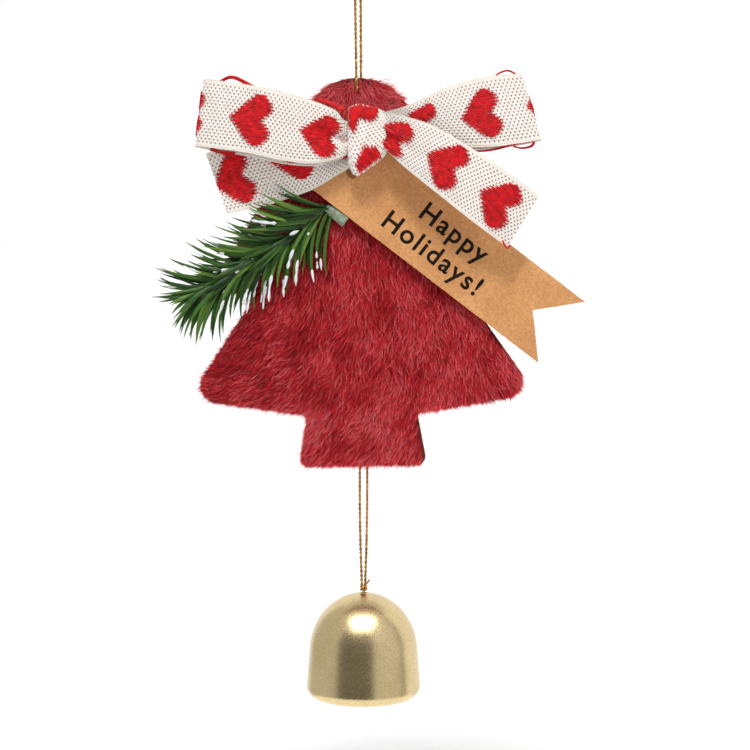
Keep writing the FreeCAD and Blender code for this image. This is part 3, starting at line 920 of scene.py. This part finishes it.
def heart_rows(rng, length=1.0, height=1.0):
    """Rows of thread in the woven heart, as (across, along start, along end) from its middle."""
    tip, lobe = np.array(HEART_TIP_SIDE, dtype=float), np.array(HEART_LOBE_SIDE, dtype=float)
    reach = tip[-1, 0] * height
    for number, v in enumerate(np.arange(-reach + FLOAT_PITCH / 2, reach, FLOAT_PITCH)):
        uneven = 0.42 if number % 2 else -0.42
        start = np.interp(abs(v) / height, tip[:, 0], tip[:, 1]) - uneven + rng.normal(0, 0.1)
        end = np.interp(abs(v) / height, lobe[:, 0], lobe[:, 1]) + uneven + rng.normal(0, 0.12)
        yield v, (np.linspace(start, end, FLOAT_POINTS) - HEART_MIDDLE) * length


def floats_on(strip, share, side, rng):
    """One raised yarn through surface places, pinched into the cloth at both ends."""
    good = ~np.isnan(share)
    if good.sum() < 5:
        return []
    share, side = share[good], side[good]
    arch = np.sin(np.linspace(0.05, math.pi - 0.05, len(share))) ** 0.45
    lift = 0.10 + (0.22 + rng.uniform(-0.05, 0.08)) * arch
    line = strip.point(share, side) + strip.normal(share, side) * lift[:, None]
    line[:, 2] += 0.07 * np.sin(np.linspace(0, 7, len(line)) + rng.uniform(0, 6))
    return [tube_rings(line, 0.14 + 0.13 * arch, 6)]


def heart_seen_at(strip, x, z, angle, length, height, rng):
    """A heart placed as it is seen from the front; angle is its axis from tip to lobes, in degrees."""
    c, s = direction(angle)
    yarns = []
    for v, u in list(heart_rows(rng, length, height)):
        yarns += floats_on(strip, *strip.find(x + u * c - v * s, z + u * s + v * c), rng)
    return yarns


def heart_along(strip, middle, tip_ahead, rng):
    """A heart centred across the ribbon, middle mm along it."""
    yarns = []
    for v, u in list(heart_rows(rng, height=0.95)):
        u = middle + u * (-1 if tip_ahead else 1)
        share = np.where((u > 0.3) & (u < strip.length - 0.3), u / strip.length, np.nan)
        yarns += floats_on(strip, share, np.full(FLOAT_POINTS, 0.5 + v / RIBBON_W), rng)
    return yarns


def stray_yarns(lines, rng):
    """Loose red yarns of the reverse side that show past an edge: (count, spread, points)."""
    yarns = []
    for count, spread, line in lines:
        for _ in range(count):
            path = through(np.array(line) + rng.normal(0, spread, (1, 3)), np.linspace(0, 1, 30))
            yarns.append(tube_rings(path, YARN_R, 6))
    return yarns


LOOP_LEFT = dict(
    spine=[(-1.5, -12.6), (-8, -13.8), (-22, -16.2), (-38, -15.9), (-46.4, -14.3), (-47.5, -12.0), (-46.3, -10.1),
           (-36, -9.4), (-20, -9.6), (-1.5, -10.6)],
    top=[(-1.5, -66), (-4.2, -65.0), (-7, -62.2), (-14.2, -59.6), (-23.2, -57.4), (-33, -55.3), (-47.6, -52.9)],
    bottom=[(-1.5, -74.1), (-5.1, -76.6), (-12.7, -78.4), (-21.8, -77.7), (-31.5, -75.5), (-42, -74), (-47.6, -73)],
    slant=0.125, looped=True, cup=0.9, valley=(0.50, 1.9))
LOOP_RIGHT = dict(
    spine=[(7.5, -12.0), (14, -12.6), (28, -13.7), (42, -13.8), (51.6, -12.9), (53.0, -11.3), (51.8, -9.9),
           (40, -9.2), (24, -9.2), (7.5, -10.0)],
    top=[(7.5, -62.8), (16.1, -60.6), (28.2, -55.8), (40.3, -52.6), (53.1, -50.9)],
    bottom=[(7.5, -70.0), (25.2, -72.8), (35.8, -73.4), (46.4, -72.2), (53.1, -70.9)],
    slant=-0.30, looped=True, cup=0.9, valley=(0.40, 1.0))
TAIL_LEFT = dict(
    spine=[(-1.5, -9.0), (-12, -8.2), (-26, -8.1), (-36, -8.6), (-43, -8.3)],
    top=[(-1.5, -68), (-20, -68.5), (-36, -71.5), (-43.1, -74.5)],
    bottom=[(-1.5, -78.4), (-8, -82.0), (-16, -86.0), (-30, -90.3), (-43.1, -93)],
    slant=-0.35, looped=False, cup=0.4, valley=(0.55, 0.7))
TAIL_RIGHT = dict(
    spine=[(7, -13.4), (14, -16.0), (26, -17.0), (40, -16.2), (50.3, -13.8)],
    top=[(7, -62.5), (20, -67), (31, -73.9), (42, -82), (50.4, -88.3)],
    bottom=[(7, -72.5), (14.3, -79), (24.6, -86.5), (37.7, -95.6), (50.4, -103.7)],
    slant=0.62, looped=False, cup=0.7, valley=(0.42, 0.9))
KNOT = dict(
    left=-2.6,
    top=[(-2.6, -61.0), (0, -60.3), (3.1, -60.6), (6, -61.6), (8.9, -62.6)],
    bottom=[(-2.6, -78.6), (-1.2, -80.9), (0.1, -81.4), (2, -80.5), (5.5, -77.9), (8.9, -75.2)],
    centre_y=-11.0, depth=3.4)

# Hearts as seen from the front: x, z, axis angle, and how far length and height are foreshortened
HEARTS = {
    "ribbon_loop_left": [(-31.9, -65.7, -8, 1.03, 1.03), (-11.4, -69.9, -12, 0.98, 0.86)],
    "ribbon_loop_right": [(37.3, -63.8, 12.6, 0.98, 1.0), (19.1, -64.9, -25, 0.62, 0.75)],
    "ribbon_tail_left": [(-38.2, -82.4, 20, 1.0, 1.12), (-20.3, -75.8, 15, 1.0, 1.0)],
    "ribbon_tail_right": [(26.3, -79.1, -30.5, 0.98, 0.98), (42.0, -90.3, -33.7, 1.0, 1.0),
                          (10.1, -70.6, -35, 1.0, 0.8)],
    "ribbon_knot": [(-0.9, -62.4, -60, 0.95, 0.95), (5.0, -78.2, -62, 0.95, 1.15)],
}
# Loose yarns: how many, how far they spread, and their line
STRAYS = {
    "ribbon_loop_left": [
        (7, 0.28, [(-41.4, -11.6, -53.2), (-38.9, -12.0, -52.1), (-36.5, -12, -52.3), (-33.3, -12, -53.9),
                   (-30.5, -11.6, -55.3)]),
        (3, 0.12, [(-33.3, -12, -53.9), (-30.5, -12, -55.0), (-27.8, -12.1, -55.8), (-23.0, -12.3, -56.6)]),
        (3, 0.16, [(-44.4, -11, -73.4), (-42.6, -11, -74.0), (-40.5, -11, -74.5), (-37.0, -11.2, -74.9)])],
    "ribbon_loop_right": [
        (2, 0.10, [(41.4, -11.0, -52.4), (42.9, -11.2, -50.6), (45.4, -11.3, -49.6), (47.0, -11.3, -49.9),
                   (48.5, -11.3, -51.0), (46.8, -11.2, -51.1), (44.8, -11, -51.2), (42.6, -11, -52.4)]),
        (2, 0.14, [(35.8, -10.8, -74.2), (39.5, -10.8, -74.0), (43.6, -10.8, -73.2), (47.3, -11, -72.2),
                   (50.4, -11, -71.6), (53.6, -11, -71.2), (52.9, -11, -72.7), (50.1, -11, -73.3),
                   (47.6, -11, -72.8)])],
    "ribbon_knot": [(6, 0.30, [(-11.5, -12.2, -58.9), (-8.2, -13.0, -60.0), (-4.2, -13.6, -62.2)])],
    "ribbon_tail_left": [(2, 0.12, [(-9.0, -9.9, -76.6), (-5.5, -10.2, -76.4), (-2.2, -10.4, -75.8)])],
    "ribbon_tail_right": [(1, 0.02, [(44.0, -14.2, -101.6), (44.7, -14.3, -103.2), (45.6, -14.2, -103.9),
                                     (46.3, -14.0, -103.0)])],
}


# Hearts that have gone round a loop's fold and on behind: how far past the fold, and whether tips lead
HEARTS_BEHIND = {"ribbon_loop_left": (3.4, True), "ribbon_loop_right": (3.2, False)}

# Ribbon pieces: name, surface, CAD node, how it is held
BOW_PIECES = (
    ("ribbon_loop_left", Ribbon(**LOOP_LEFT), "bow_loop_left", "folded"),
    ("ribbon_loop_right", Ribbon(**LOOP_RIGHT), "bow_loop_right", "folded"),
    ("ribbon_tail_left", Ribbon(**TAIL_LEFT), "bow_tail_left", "hung"),
    ("ribbon_tail_right", Ribbon(**TAIL_RIGHT), "bow_tail_right", "hung"),
    ("ribbon_knot", KnotBand(**KNOT), "bow_knot", "gathered"),
)


def bow_yarns(name, strip, rng):
    """Every red yarn of one piece of ribbon."""
    yarns = []
    if name in HEARTS_BEHIND:
        past, tip_ahead = HEARTS_BEHIND[name]
        for k in range(3):
            yarns += heart_along(strip, strip.length / 2 + past + HEART_REPEAT * k, tip_ahead, rng)
    for place in HEARTS[name]:
        yarns += heart_seen_at(strip, *place, rng)
    return yarns + stray_yarns(STRAYS[name], rng)


def add_bow():
    cloth, red = woven_look(), red_yarn_look()
    rng = np.random.default_rng(SEED + 5)
    for name, strip, node, held in BOW_PIECES:
        sheet = ribbon_mesh(name, strip, node, cloth, closed=name == "ribbon_knot")
        threads = tube_mesh(name + "_hearts", bow_yarns(name, strip, rng), 0.5, "tree", red)


# ---------------------------------------------------------------- tag, board, glue and other small pieces
TAG_L = 87.8
TAG_W = 23.6
TAG_NOTCH = 11.2
TAG_HOLE_FROM_END = 6.8
TAG_HOLE_R = 2.0
TAG_THICK = 0.5
GLUE_R, GLUE_WAIST = 2.25, 0.7
# Words, mm across, mm along, letter size
PRINT_LINES = (("Happy", 1.4, 30.7, 8.4), ("Holidays!", -7.6, 23.1, 8.4))


def kraft_look():
    """Brown card with short pale and dark fibres."""
    look = Look("kraft_card", (0.50, 0.28, 0.13), 0.85, Specular_IOR_Level=0.25)
    base = look.ramp(look.noise(90.0, 3.0), [(0.25, (0.60, 0.275, 0.105)), (0.75, (0.74, 0.370, 0.150))])
    grain = look.noise(1500.0, 4.0, 0.7)
    specks = look.ramp(grain, [(0.32, (0.74, 0.70, 0.64)), (0.5, (1, 1, 1)), (0.72, (1.22, 1.22, 1.2))])
    base = look.mix(base, specks, 0.8, "MULTIPLY")
    fibres = look.noise(1900.0, 2.0, 0.8, (1.0, 1.0, 0.22))
    strength = look.ramp(fibres, [(0.66, (0, 0, 0)), (0.76, (0.5, 0.5, 0.5))])
    look.color(look.mix(base, (0.86, 0.56, 0.30), strength))
    look.bump(grain, 0.35, 0.0001)
    return look.material


def ink_look():
    return grained("printing_ink", (0.012, 0.010, 0.009), 0.95, (2400.0, 2.0),
                   [(0.35, (0.006, 0.005, 0.004)), (0.75, (0.03, 0.02, 0.015))], Specular_IOR_Level=0.1)


def tag_point(along, across, off=0.0):
    """Place on the warped tag: mm from its square end, mm across it (up is plus), mm behind its face."""
    warp = 0.10 * smooth_noise(along, across, 60.0, SEED)
    c, s = direction(TAG_ANGLE)
    along = along - TAG_HOLE_FROM_END
    return np.stack([TAG_HOLE[0] + along * c - across * s, TAG_FRONT + warp + off,
                     TAG_HOLE[1] + along * s + across * c], axis=-1)


def card_rim(rng):
    """The card's outline as (along, across) points, slightly worn."""
    half = TAG_W / 2
    outline = [(0, -half), (TAG_L, -half), (TAG_L - TAG_NOTCH, 0), (TAG_L, half), (0, half)]
    rim = []
    for here, after in zip(outline, outline[1:] + outline[:1]):
        steps = int(math.dist(here, after) / 0.8)
        rim += [np.add(here, np.subtract(after, here) * i / steps) for i in range(steps)]
    return np.array(rim) + rng.normal(0, 0.03, (len(rim), 2))


def add_card():
    rng = np.random.default_rng(SEED + 7)
    rim = card_rim(rng)
    middle = np.array([TAG_HOLE_FROM_END, 0.0])
    bearing = math.atan2(*(rim[0] - middle)[::-1])
    turns = np.linspace(0, math.tau, len(rim), endpoint=False) + bearing
    hole = middle + TAG_HOLE_R * np.stack([np.cos(turns), np.sin(turns)], axis=-1)
    hole = hole + rng.normal(0, 0.012, hole.shape)
    face = rim + (hole - rim) * np.linspace(0, 1, 40)[:, None, None] ** 1.2
    both = np.concatenate([face, face[::-1]])
    behind = np.repeat([0.0, TAG_THICK], len(face))[:, None]
    verts = tag_point(both[..., 0], both[..., 1], behind)
    uv = np.stack([both[..., 0] / 200 + np.where(behind > 0, 0.5, 0.02), both[..., 1] / 60 + 0.5], axis=-1)
    faces = grid_faces(len(both), len(rim), close_rows=True, close_columns=True)
    tag = add_mesh("card_tag", verts.reshape(-1, 3), faces, "tree", kraft_look(),
                   uv.reshape(-1, 2), smooth=False)
    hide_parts("tag")


def print_line(name, words, across, along, size, ink):
    """Extruded letters bent to the card's warp."""
    curve = bpy.data.curves.new(name, "FONT")
    curve.body = words
    curve.size = size * MM
    curve.extrude = 0.02 * MM
    curve.offset = 0.14 * MM
    curve.space_character = 1.16
    carrier = bpy.data.objects.new(name + "_line", curve)
    bpy.context.scene.collection.objects.link(carrier)
    letters = bpy.data.meshes.new_from_object(carrier.evaluated_get(bpy.context.evaluated_depsgraph_get()))
    x, y, z = np.array([v.co[:] for v in letters.vertices]).T / MM
    faces = [list(polygon.vertices) for polygon in letters.polygons]
    bpy.data.objects.remove(carrier)
    add_mesh(name, tag_point(along + x, across + y, -0.03 - z), faces, "tree", ink, smooth=False)


def add_tag():
    """The card and a generic printed greeting."""
    add_card()
    ink = ink_look()
    for number, line in enumerate(PRINT_LINES):
        print_line(f"tag_print_{number + 1}", *line, ink)


def shaded_glue_look():
    """Clear amber-tinted hot glue with small bubbles, its brown darkened with painted shade to the tone of the card
    in shade.
    """
    return grained("hot_glue", (0.34, 0.15, 0.05), 0.6, (1400.0, 3.0),
                   [(0.35, (0.26, 0.115, 0.04)), (0.7, (0.42, 0.21, 0.08))], (0.25, 0.0002))


def board_look():
    return grained("grey_board", (0.30, 0.22, 0.18), 0.9, (900.0, 4.0, 0.5, (1, 1, 0.3)),
                   [(0.3, (0.20, 0.125, 0.085)), (0.7, (0.36, 0.245, 0.17))], (0.5, 0.0002))


def cord_node_look():
    """Twisted gold thread for the short cords that keep their plain shape."""
    look = Look("gold_thread_plain", (0.70, 0.43, 0.12), 0.36, 0.85)
    twist = look.node("ShaderNodeTexWave", Scale=420.0, Distortion=1.2)
    look.links.new(look.place(), twist.inputs["Vector"])
    look.color(look.ramp(twist.outputs["Fac"], [(0.2, (0.30, 0.14, 0.03)), (0.6, (0.78, 0.50, 0.15)),
                                                (0.9, (0.95, 0.72, 0.33))]))
    look.bump(twist.outputs["Fac"], 0.7, 0.0002)
    return look.material


def bounds_of(node):
    """Lowest and highest corner of a CAD node in millimetres."""
    corners = node_corners(node)
    return np.array([corners.min(axis=0), corners.max(axis=0)])


def paint_node(node, material):
    """Gives a carried-over CAD node its material."""
    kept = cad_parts[node]
    kept.data.materials.clear()
    kept.data.materials.append(material)


def add_bow_glue(glue):
    """The blob behind the bow: a lumpy waisted drop from the board to the ribbon."""
    low, high = bounds_of("bow_glue")
    share = np.linspace(0, 1, 14)
    y = low[1] + 0.05 + share * (high[1] - low[1] - 0.1)
    path = np.stack([0 * y + (low[0] + high[0]) / 2, y, 0 * y + low[2] + GLUE_R + 0.1], axis=-1)
    blob = tube_rings(path, GLUE_R - GLUE_WAIST * np.sin(math.pi * share), 24, up=(0, 0, 1))
    lumps = 1 + 0.07 * np.sin(np.linspace(0, math.tau, 24, endpoint=False) * 3 + 1)[:, None]
    tube_mesh("bow_glue_blob", [path[:, None] + (blob - path[:, None]) * lumps], 0.5, "tree", glue,
              "bow_glue")


def add_small_pieces():
    anchor = bounds_of("bell_cord_anchor_knot").mean(axis=0)
    knot_strands("bell_cord_end_knot", anchor, ANCHOR_R, 0.36, "tree", "bell_cord_anchor_knot",
                 cord_node_look())
    glue = shaded_glue_look()
    for node in ("tag_glue", "sprig_glue"):
        paint_node(node, glue)
    add_bow_glue(glue)
    paint_node("tree_core", board_look())


# ---------------------------------------------------------------- pine sprig
STEM = [(-6, -5.1, -91.8), (-9.3, -5.1, -90.5), (-17.6, -5.3, -97.6), (-31.1, -6.0, -106.5), (-41.4, -6.8, -113.9),
        (-48.4, -7.2, -116.8)]
STEM_ANGLE = 216.0
STEM_R, STEM_TAPER, BARK_TURNS = 0.72, 0.22, 260.0
TAPE_LINE = [(-3.4, -5.3, -94.9), (-6.0, -5.3, -92.9), (-9.6, -5.3, -90.4)]
TAPE_R = 2.0
NEEDLE_POINTS = 12
# Needle groups: CAD node, count, share of the stem, start and bend of the angle off the stem, lift, length
NEEDLES = (
    ("pine_needles_upper", 92, (0.04, 0.97), (-12, -46), (-16, -38), (0.5, 4.4), (14.5, 21.0)),
    ("pine_needles_lower", 84, (0.03, 0.97), (4, 30), (18, 40), (0.2, 3.6), (16.0, 22.0)),
    ("pine_needles_tip", 52, (0.25, 1.0), (-16, 14), (-24, 24), (1.0, 4.6), (12.5, 18.5)),
)
# Snow on the stem and needles, seen from the front: x, z, length, width, angle
SNOW_PATCHES = ((-19.3, -98.7, 3.2, 1.1, 205), (-31.9, -107.0, 2.2, 0.8, 212), (-36.8, -110.6, 2.2, 0.9, 218),
                (-41.6, -114.6, 1.2, 0.8, 200), (-28.2, -96.2, 2.4, 1.0, 186), (-33.0, -99.6, 1.6, 0.8, 180),
                (-27.0, -88.9, 1.6, 0.7, 200), (-14.9, -99.0, 1.0, 0.6, 240))
SNOWY_SHARE = 0.62


def needle(start, angle, bend, lift, length, width, roll):
    """A creased blade: rings of four points, and its middle line."""
    t = np.linspace(0, 1, NEEDLE_POINTS)
    turn = np.radians(angle + bend * t[:-1] ** 1.2)
    steps = np.stack([np.cos(turn), 0 * turn, np.sin(turn)], axis=-1) * length / (NEEDLE_POINTS - 1)
    line = start + np.vstack([np.zeros(3), np.cumsum(steps, axis=0)])
    line[:, 1] -= lift * np.sin(t * 2.1)
    tangent = unit(np.gradient(line, axis=0))
    facing = (math.sin(roll) * 0.6, -math.cos(roll), math.sin(roll) * 0.8)
    side = unit(np.cross(tangent, facing))
    out = np.cross(side, tangent)
    out *= np.where(out[:, 1:2] > 0, -1.0, 1.0)
    half = width / 2 * (np.minimum(0.55 + 1.6 * t, 1.0) * np.minimum((1.02 - t) * 2.6, 1.0) ** 0.75)[:, None]
    rings = [line + side * half, line + out * half * 0.55, line - side * half, line - out * half * 0.20]
    return np.stack(rings, axis=1), line


def needle_look():
    """Leaf plastic: tone from needle to needle, paler along the blade towards its point."""
    look = Look("pine_needle", (0.05, 0.12, 0.03), 0.42, Specular_IOR_Level=0.3)
    tone_place, along_place = look.uv_parts()[:2]
    tone = look.ramp(tone_place, [
        (0.0, (0.006, 0.022, 0.005)), (0.35, (0.020, 0.066, 0.010)), (0.7, (0.056, 0.140, 0.018)),
        (1.0, (0.150, 0.260, 0.040))])
    along = look.ramp(along_place, [
        (0.0, (0.55, 0.6, 0.5)), (0.4, (1, 1, 1)), (0.85, (1.25, 1.2, 0.95)), (1.0, (1.9, 1.6, 1.0))])
    look.color(look.mix(tone, along, 1.0, "MULTIPLY"))
    look.bump(look.noise(1500.0, 2.0), 0.2, 0.0001)
    return look.material


def snow_look():
    return grained("artificial_snow", (0.90, 0.91, 0.93), 0.85, (1800.0, 4.0, 0.7),
                   [(0.3, (0.84, 0.84, 0.84)), (0.6, (0.97, 0.97, 0.96))], (0.6, 0.0003), Subsurface_Weight=0.1)


def bark_look():
    return grained("wrapped_stem", (0.06, 0.09, 0.035), 0.8, (900.0, 3.0),
                   [(0.3, (0.030, 0.052, 0.020)), (0.7, (0.11, 0.15, 0.06))], (0.6, 0.0003))


def tape_look():
    return grained("floral_tape", (0.30, 0.36, 0.26), 0.7, (700.0, 3.0),
                   [(0.3, (0.16, 0.21, 0.13)), (0.7, (0.40, 0.46, 0.34))], (0.7, 0.0004))


def snow_on(line, first, rng):
    """A lumpy crust round the end of a needle, from the share first to its point."""
    along = np.linspace(first, 1.0, NEEDLE_POINTS)
    path = sampled(line, np.linspace(0, 1, len(line)), along)
    waves = 0.35 * np.sin(along * rng.uniform(20, 40) + rng.uniform(0, 6))
    lumps = 1 + waves + rng.normal(0, 0.12, NEEDLE_POINTS)
    taper = np.minimum(1, (1.0 - np.linspace(0, 1, NEEDLE_POINTS)) * 3 + 0.45)
    radius = (0.30 + 0.16 * rng.random()) * lumps * taper
    radius[0] *= 0.3
    path[:, 1] -= 0.12
    return tube_rings(path, radius, 8)


def add_needles(green, rng):
    """Every group of needles; returns the crusts of snow on them."""
    crusts = []
    for node, count, span, spread, bend, lift, length in NEEDLES:
        upper, lower = node.endswith("upper"), node.endswith("lower")
        blades, tones = [], []
        for share in np.linspace(*span, count) + rng.normal(0, 0.008, count):
            start = through(STEM, [np.clip(share, 0.02, 1.0)])[0] + rng.normal(0, 0.2, 3)
            raised = rng.uniform(*lift) + (2.2 if upper and share < 0.3 else 0.0)
            hanging = 70.0 * max(0.0, 0.30 - share) if lower else 0.0
            angle = STEM_ANGLE + hanging + rng.uniform(*sorted(spread))
            curve = rng.uniform(*sorted(bend))
            reach = rng.uniform(*length) * (0.78 if share > 0.9 else 1.0)
            width, roll = rng.uniform(0.85, 1.30), rng.uniform(-0.8, 0.8)
            rings, line = needle(start, angle, curve, raised, reach, width, roll)
            blades.append(rings)
            tones.append(np.clip(rng.normal(0.48, 0.24), 0.02, 0.98))
            snowy = lower and share < SNOWY_SHARE and rng.random() < 0.45
            if snowy or rng.random() < 0.08:
                crusts.append(snow_on(line, rng.uniform(0.58, 0.88), rng))
        tube_mesh(node.replace("pine_", ""), blades, tones, "tree", green, node, smooth=False)
    return crusts


def snow_patch(x, z, length, width, angle, rng):
    """A low drift over the stem."""
    c, s = direction(angle)
    ends = [(x + sign * c * length / 2, -8.2, z + sign * s * length / 2) for sign in (-1, 1)]
    path = through([ends[0], (x, -8.5, z), ends[1]], np.linspace(0, 1, 14))
    swell = np.sin(np.linspace(0.25, math.pi - 0.25, 14)) + rng.normal(0, 0.12, 14)
    return tube_rings(path, width / 2 * swell, 10)


def add_stem():
    shares = np.linspace(0, 1, 200)
    radii = STEM_R - STEM_TAPER * shares + 0.05 * np.sin(shares * BARK_TURNS)
    stem = tube_rings(through(STEM, shares), radii, 12)
    tube_mesh("sprig_stem", [stem], 0.5, "tree", bark_look(), "pine_stem")


def add_tape():
    """Tape wound round the stem's foot, pressed flat towards the board."""
    shares = np.linspace(0, 1, 60)
    wrap = tube_rings(through(TAPE_LINE, shares), TAPE_R + 0.14 * np.sin(shares * 48.0) - shares ** 3, 24)
    middle = TAPE_LINE[0][1]
    wrap[..., 1] = middle + (wrap[..., 1] - middle) * 0.7
    tube_mesh("sprig_tape", [wrap], 0.5, "tree", tape_look(), "pine_base_tape")


def add_sprig():
    rng = np.random.default_rng(SEED + 9)
    crusts = add_needles(needle_look(), rng)
    crusts += [snow_patch(*patch, rng) for patch in SNOW_PATCHES]
    tube_mesh("snow_crusts", crusts, 0.5, "tree", snow_look(), "pine_snow")
    add_stem()
    add_tape()


# ---------------------------------------------------------------- bell and clapper
BELL_R = 17.65
BELL_DOME_R = 16.9
BELL_DOME_H = 18.4
BELL_WALL = 1.2
BELL_CROWN_Z = -210.2
RIM_CURL_R = 3.4
RIM_CURL_ANGLE = 60.0
RIM_CURL_Z = -238.9
DOME_POINTS = 70
EASED_POINTS = (56, 84)     # stretch of the wall's line round the end of the dome
EASING_PASSES = 24
CROWN_HOLE_R = 1.3
STOP_KNOT_Z = -212.9
STOP_KNOT_R = 1.9
CLAPPER_BALL_Z = -234.5
CLAPPER_BALL_R = 3.6


def wall_line(wall):
    """(radius, height) down the wall at a depth in it: dome, flare and curl, eased where they meet."""
    radius, height = BELL_DOME_R - wall, BELL_DOME_H - wall
    angle = np.linspace(math.asin(CROWN_HOLE_R / radius), math.pi / 2, DOME_POINTS)
    dome = np.stack([radius * np.sin(angle), BELL_CROWN_Z - BELL_DOME_H + height * np.cos(angle)], axis=-1)
    turn = np.radians(np.linspace(0, RIM_CURL_ANGLE, 16))
    reach = RIM_CURL_R - wall
    curl = np.stack([BELL_R - RIM_CURL_R + reach * np.cos(turn), RIM_CURL_Z - reach * np.sin(turn)], axis=-1)
    share = np.linspace(0.05, 0.95, 19)[:, None]
    line = np.vstack([dome, dome[-1] * (1 - share) + curl[0] * share, curl])
    start, end = EASED_POINTS
    for _ in range(EASING_PASSES):
        line[start:end] += ((line[start - 1:end - 1] + line[start + 1:end + 1]) / 2 - line[start:end]) / 2
    return line


def bell_profile():
    """(radius, height) round the wall's section: crown hole, outside, rounded lip, inside."""
    outside, inside_line = wall_line(0), wall_line(BELL_WALL)
    middle = (outside[-1] + inside_line[-1]) / 2
    bend = -math.radians(RIM_CURL_ANGLE) - np.linspace(0.25, math.pi - 0.25, 10)
    lip = middle + BELL_WALL / 2 * np.stack([np.cos(bend), np.sin(bend)], axis=-1)
    return np.vstack([outside, lip, inside_line[::-1]])


def lathe(profile, segments, centre):
    """Rings of a turned shape round a vertical axis, rows along the profile."""
    turns = np.linspace(0, math.tau, segments, endpoint=False)
    return np.stack([centre[0] + profile[:, :1] * np.cos(turns), centre[1] + profile[:, :1] * np.sin(turns),
                     np.repeat(profile[:, 1:], segments, axis=1)], axis=-1)


def brass_look():
    """Satin pale brass: fine grain in roughness, tone and bump."""
    look = Look("bell_brass", (0.84, 0.66, 0.36), 0.3, 1.0)
    grain = look.noise(2400.0, 3.0, 0.7)
    cloud = look.noise(120.0, 3.0)
    tone = look.ramp(cloud, [(0.3, (0.80, 0.635, 0.335)), (0.7, (0.90, 0.72, 0.41))])
    dark = look.ramp(grain, [(0.38, (0.70, 0.66, 0.60)), (0.58, (1.0, 1.0, 1.0))])
    look.color(look.mix(tone, dark, 0.7, "MULTIPLY"))
    look.rough(grain, 0.19, 0.34)
    look.bump(grain, 0.15, 0.0001)
    return look.material


def wire_look():
    return grained("iron_wire", (0.42, 0.40, 0.36), 0.35, (1200.0, 2.0),
                   [(0.35, (0.26, 0.24, 0.21)), (0.7, (0.52, 0.50, 0.46))], (0.3, 0.0001), metallic=1.0)


def cast_look():
    return grained("cast_clapper", (0.50, 0.45, 0.36), 0.42, (900.0, 3.0),
                   [(0.35, (0.34, 0.30, 0.23)), (0.65, (0.60, 0.54, 0.42))], (0.4, 0.0003), metallic=1.0)


def add_shell():
    rings = lathe(bell_profile(), 200, (AXIS_X, 0))
    rows, segments = rings.shape[:2]
    v, u = np.meshgrid(np.linspace(0.01, 0.99, rows), np.linspace(0.01, 0.99, segments), indexing="ij")
    uv = np.stack([u, v], axis=-1).reshape(-1, 2)
    faces = grid_faces(rows, segments, True, True)
    shell = add_mesh("bell_dome", rings.reshape(-1, 3), faces, "bell", brass_look(), uv)
    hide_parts("bell_shell")


def add_clapper():
    wire = wire_look()
    for node in ("clapper_wire", "clapper_loop"):
        paint_node(node, wire)
    angle = np.linspace(0.02, math.pi - 0.02, 60)
    seam = 0.05 * np.exp(-((angle - math.pi / 2) / 0.03) ** 2)
    profile = np.stack([(CLAPPER_BALL_R + seam) * np.sin(angle),
                        CLAPPER_BALL_Z + CLAPPER_BALL_R * np.cos(angle)], axis=-1)
    tube_mesh("clapper_weight", [lathe(profile, 96, (AXIS_X, 0))], 0.5, "clapper", cast_look(),
              "clapper_ball")


def add_crown_cord():
    """The three-ply cord through the crown, and the knot that stops it inside."""
    gold = cord_node_look()
    knot_strands("inner_knot", (AXIS_X, 0, STOP_KNOT_Z), STOP_KNOT_R, 0.55, "bell", "inner_stop_knot", gold)
    z = np.linspace(CROWN_KNOT[2] - 1.0, STOP_KNOT_Z + 0.8, 40)
    plies = []
    for ply in range(3):
        turn = np.linspace(0, 7.0, 40) + ply * math.tau / 3
        path = np.stack([AXIS_X + 0.2 * np.cos(turn), 0.2 * np.sin(turn), z], axis=-1)
        plies.append(tube_rings(path, 0.22, 6, up=(0, 1, 0)))
    tube_mesh("crown_thread", plies, (0.2, 0.5, 0.8), "bell", gold, "bell_link_cord")


def add_bell():
    add_shell()
    add_clapper()
    add_crown_cord()


# ---------------------------------------------------------------- main
add_camera()
add_cords()
add_stage()
add_fur()
add_bow()
add_tag()
add_sprig()
add_bell()
add_small_pieces()
